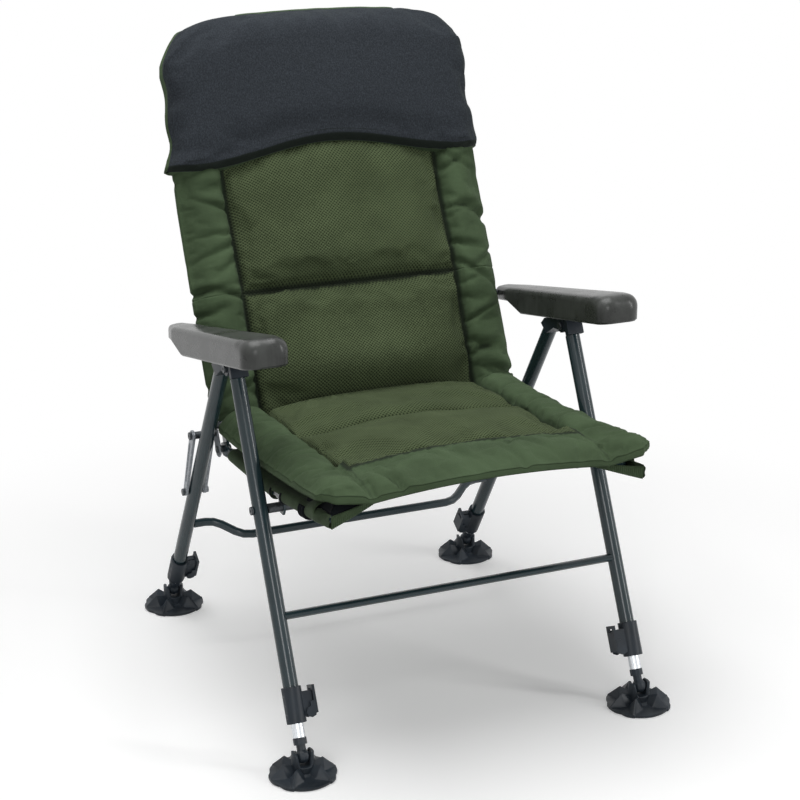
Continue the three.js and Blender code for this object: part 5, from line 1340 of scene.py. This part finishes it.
class ChairStage(bpy.types.Operator):
    """Make the floor, the lamps, the surroundings and the camera"""

    bl_idname = "chair.stage"
    bl_label = "Stage"

    def execute(self, context):
        scene, studio = context.scene, context.scene.chair_studio
        r, turn = np.linspace(0, 30, 40)[:, None], np.linspace(0, 2 * PI, 64, endpoint=False)
        disc = np.stack([r * np.cos(turn), r * np.sin(turn), np.zeros((40, 64))], -1)
        floor_material = bpy.data.materials.new("floor")
        floor_material.use_nodes = True
        tree = floor_material.node_tree
        shader = tree.nodes["Principled BSDF"]
        feed(tree, shader, {"Base Color": (0.84, 0.84, 0.84, 1), "Roughness": 0.9, "Specular IOR Level": 0.0})
        place = add_node(tree, "ShaderNodeTexCoord").outputs["Object"]
        away = add_node(tree, "ShaderNodeVectorMath", {"operation": "LENGTH"}, {0: place}).outputs["Value"]
        seen = seen_rays(tree)
        glow = white_light(tree, math_node(tree, "MULTIPLY", seen, 0.25))
        near_floor = add_node(tree, "ShaderNodeAddShader", None, {0: shader.outputs[0], 1: glow}).outputs[0]
        far = math_node(tree, "MULTIPLY", seen, ranged(tree, away, 0.70, 1.35))
        both = add_node(tree, "ShaderNodeMixShader", None, {0: far, 1: near_floor, 2: white_light(tree, 1.0)})
        feed(tree, tree.nodes["Material Output"], {"Surface": both.outputs[0]})
        floor = make_piece("floor", disc, grid_faces(40, 64, wrap_columns=True), floor_material, closed=False)

        world = bpy.data.worlds.new("surroundings")
        scene.world = world
        world.use_nodes = True
        tree = world.node_tree
        strength = linear(tree, seen_rays(tree), 0, 1, studio.sky, 1.0)
        feed(tree, tree.nodes["Background"], {"Color": (1.0, 1.0, 1.0, 1), "Strength": strength})

        # Name, place, the place it faces, size and power
        lamps = (
            ("key", (-0.4, 0.1, 3.0), (0, 0, 0.4), (2.4, 2.0), studio.key_power),
            ("fill", (-1.5, -3.1, 1.6), (0, 0, 0.5), (0.7, 1.1), studio.fill_power),
            ("strip", (2.3, -1.9, 1.5), (0, 0, 0.5), (0.25, 2.2), studio.strip_power),
        )
        for name, place, aim, size, power in lamps:
            data = bpy.data.lights.new(name, "AREA")
            data.shape = "RECTANGLE"
            data.size, data.size_y = size
            data.energy = power
            lamp = bpy.data.objects.new(name, data)
            lamp.location = place
            lamp.rotation_mode = "QUATERNION"
            lamp.rotation_quaternion = (Vector(aim) - Vector(place)).to_track_quat("-Z", "Y")
            scene.collection.objects.link(lamp)

        # The camera of the photo: it looks at the aim from the distance
        aim = Vector((0.0097, -0.0109, 0.4819))
        azimuth, elevation, distance = math.radians(-23.21), math.radians(18.936), 3.393
        level = math.cos(elevation)
        back = Vector((math.sin(azimuth) * level, -math.cos(azimuth) * level, math.sin(elevation)))
        data = bpy.data.cameras.new("camera")
        data.sensor_width, data.lens = 36.0, studio.lens
        data.clip_start, data.clip_end = 0.05, 200
        camera = bpy.data.objects.new("camera", data)
        camera.location = aim + back * distance
        camera.rotation_mode = "QUATERNION"
        camera.rotation_quaternion = (-back).to_track_quat("-Z", "Y")
        scene.collection.objects.link(camera)
        scene.camera = camera
        scene.view_settings.view_transform = "Standard"
        return {"FINISHED"}


OPERATORS = (
    ChairMattresses, ChairHeadrest, ChairSlings, ChairTubework, ChairArmrests, ChairFeet, ChairFittings, ChairStage
)
GROUPS = {
    "chair_tubes": ChairTubes, "chair_mattress": ChairMattress, "chair_plastics": ChairPlastics,
    "chair_studio": ChairStudio,
}


class ChairPanel(bpy.types.Panel):
    """Sizes, colours and makers of the chair's finish"""

    bl_idname = "VIEW3D_PT_chair"
    bl_label = "Carp fishing chair"
    bl_space_type = "VIEW_3D"
    bl_region_type = "UI"
    bl_category = "Chair"

    def draw(self, context):
        for key, group in GROUPS.items():
            box = self.layout.box()
            box.label(text=group.__doc__)
            for name in group.__annotations__:
                box.prop(getattr(context.scene, key), name)
        for operator in OPERATORS:
            self.layout.operator(operator.bl_idname)


def register():
    """Registers the property groups, the operators and the panel."""
    for group in GROUPS.values():
        bpy.utils.register_class(group)
    for key, group in GROUPS.items():
        setattr(bpy.types.Scene, key, bpy.props.PointerProperty(type=group))
    for kind in (*OPERATORS, ChairPanel):
        bpy.utils.register_class(kind)


def unregister():
    """Takes them out again."""
    for kind in reversed((*OPERATORS, ChairPanel)):
        bpy.utils.unregister_class(kind)
    for key, group in GROUPS.items():
        delattr(bpy.types.Scene, key)
        bpy.utils.unregister_class(group)


def main():
    """Registers the settings, the makers and the panel, then makes every piece and the stage."""
    register()
    bpy.ops.chair.mattresses()
    bpy.ops.chair.headrest()
    bpy.ops.chair.slings()
    bpy.ops.chair.tubework()
    bpy.ops.chair.armrests()
    bpy.ops.chair.feet()
    bpy.ops.chair.fittings()
    bpy.ops.chair.stage()


if __name__ == "__main__":
    main()
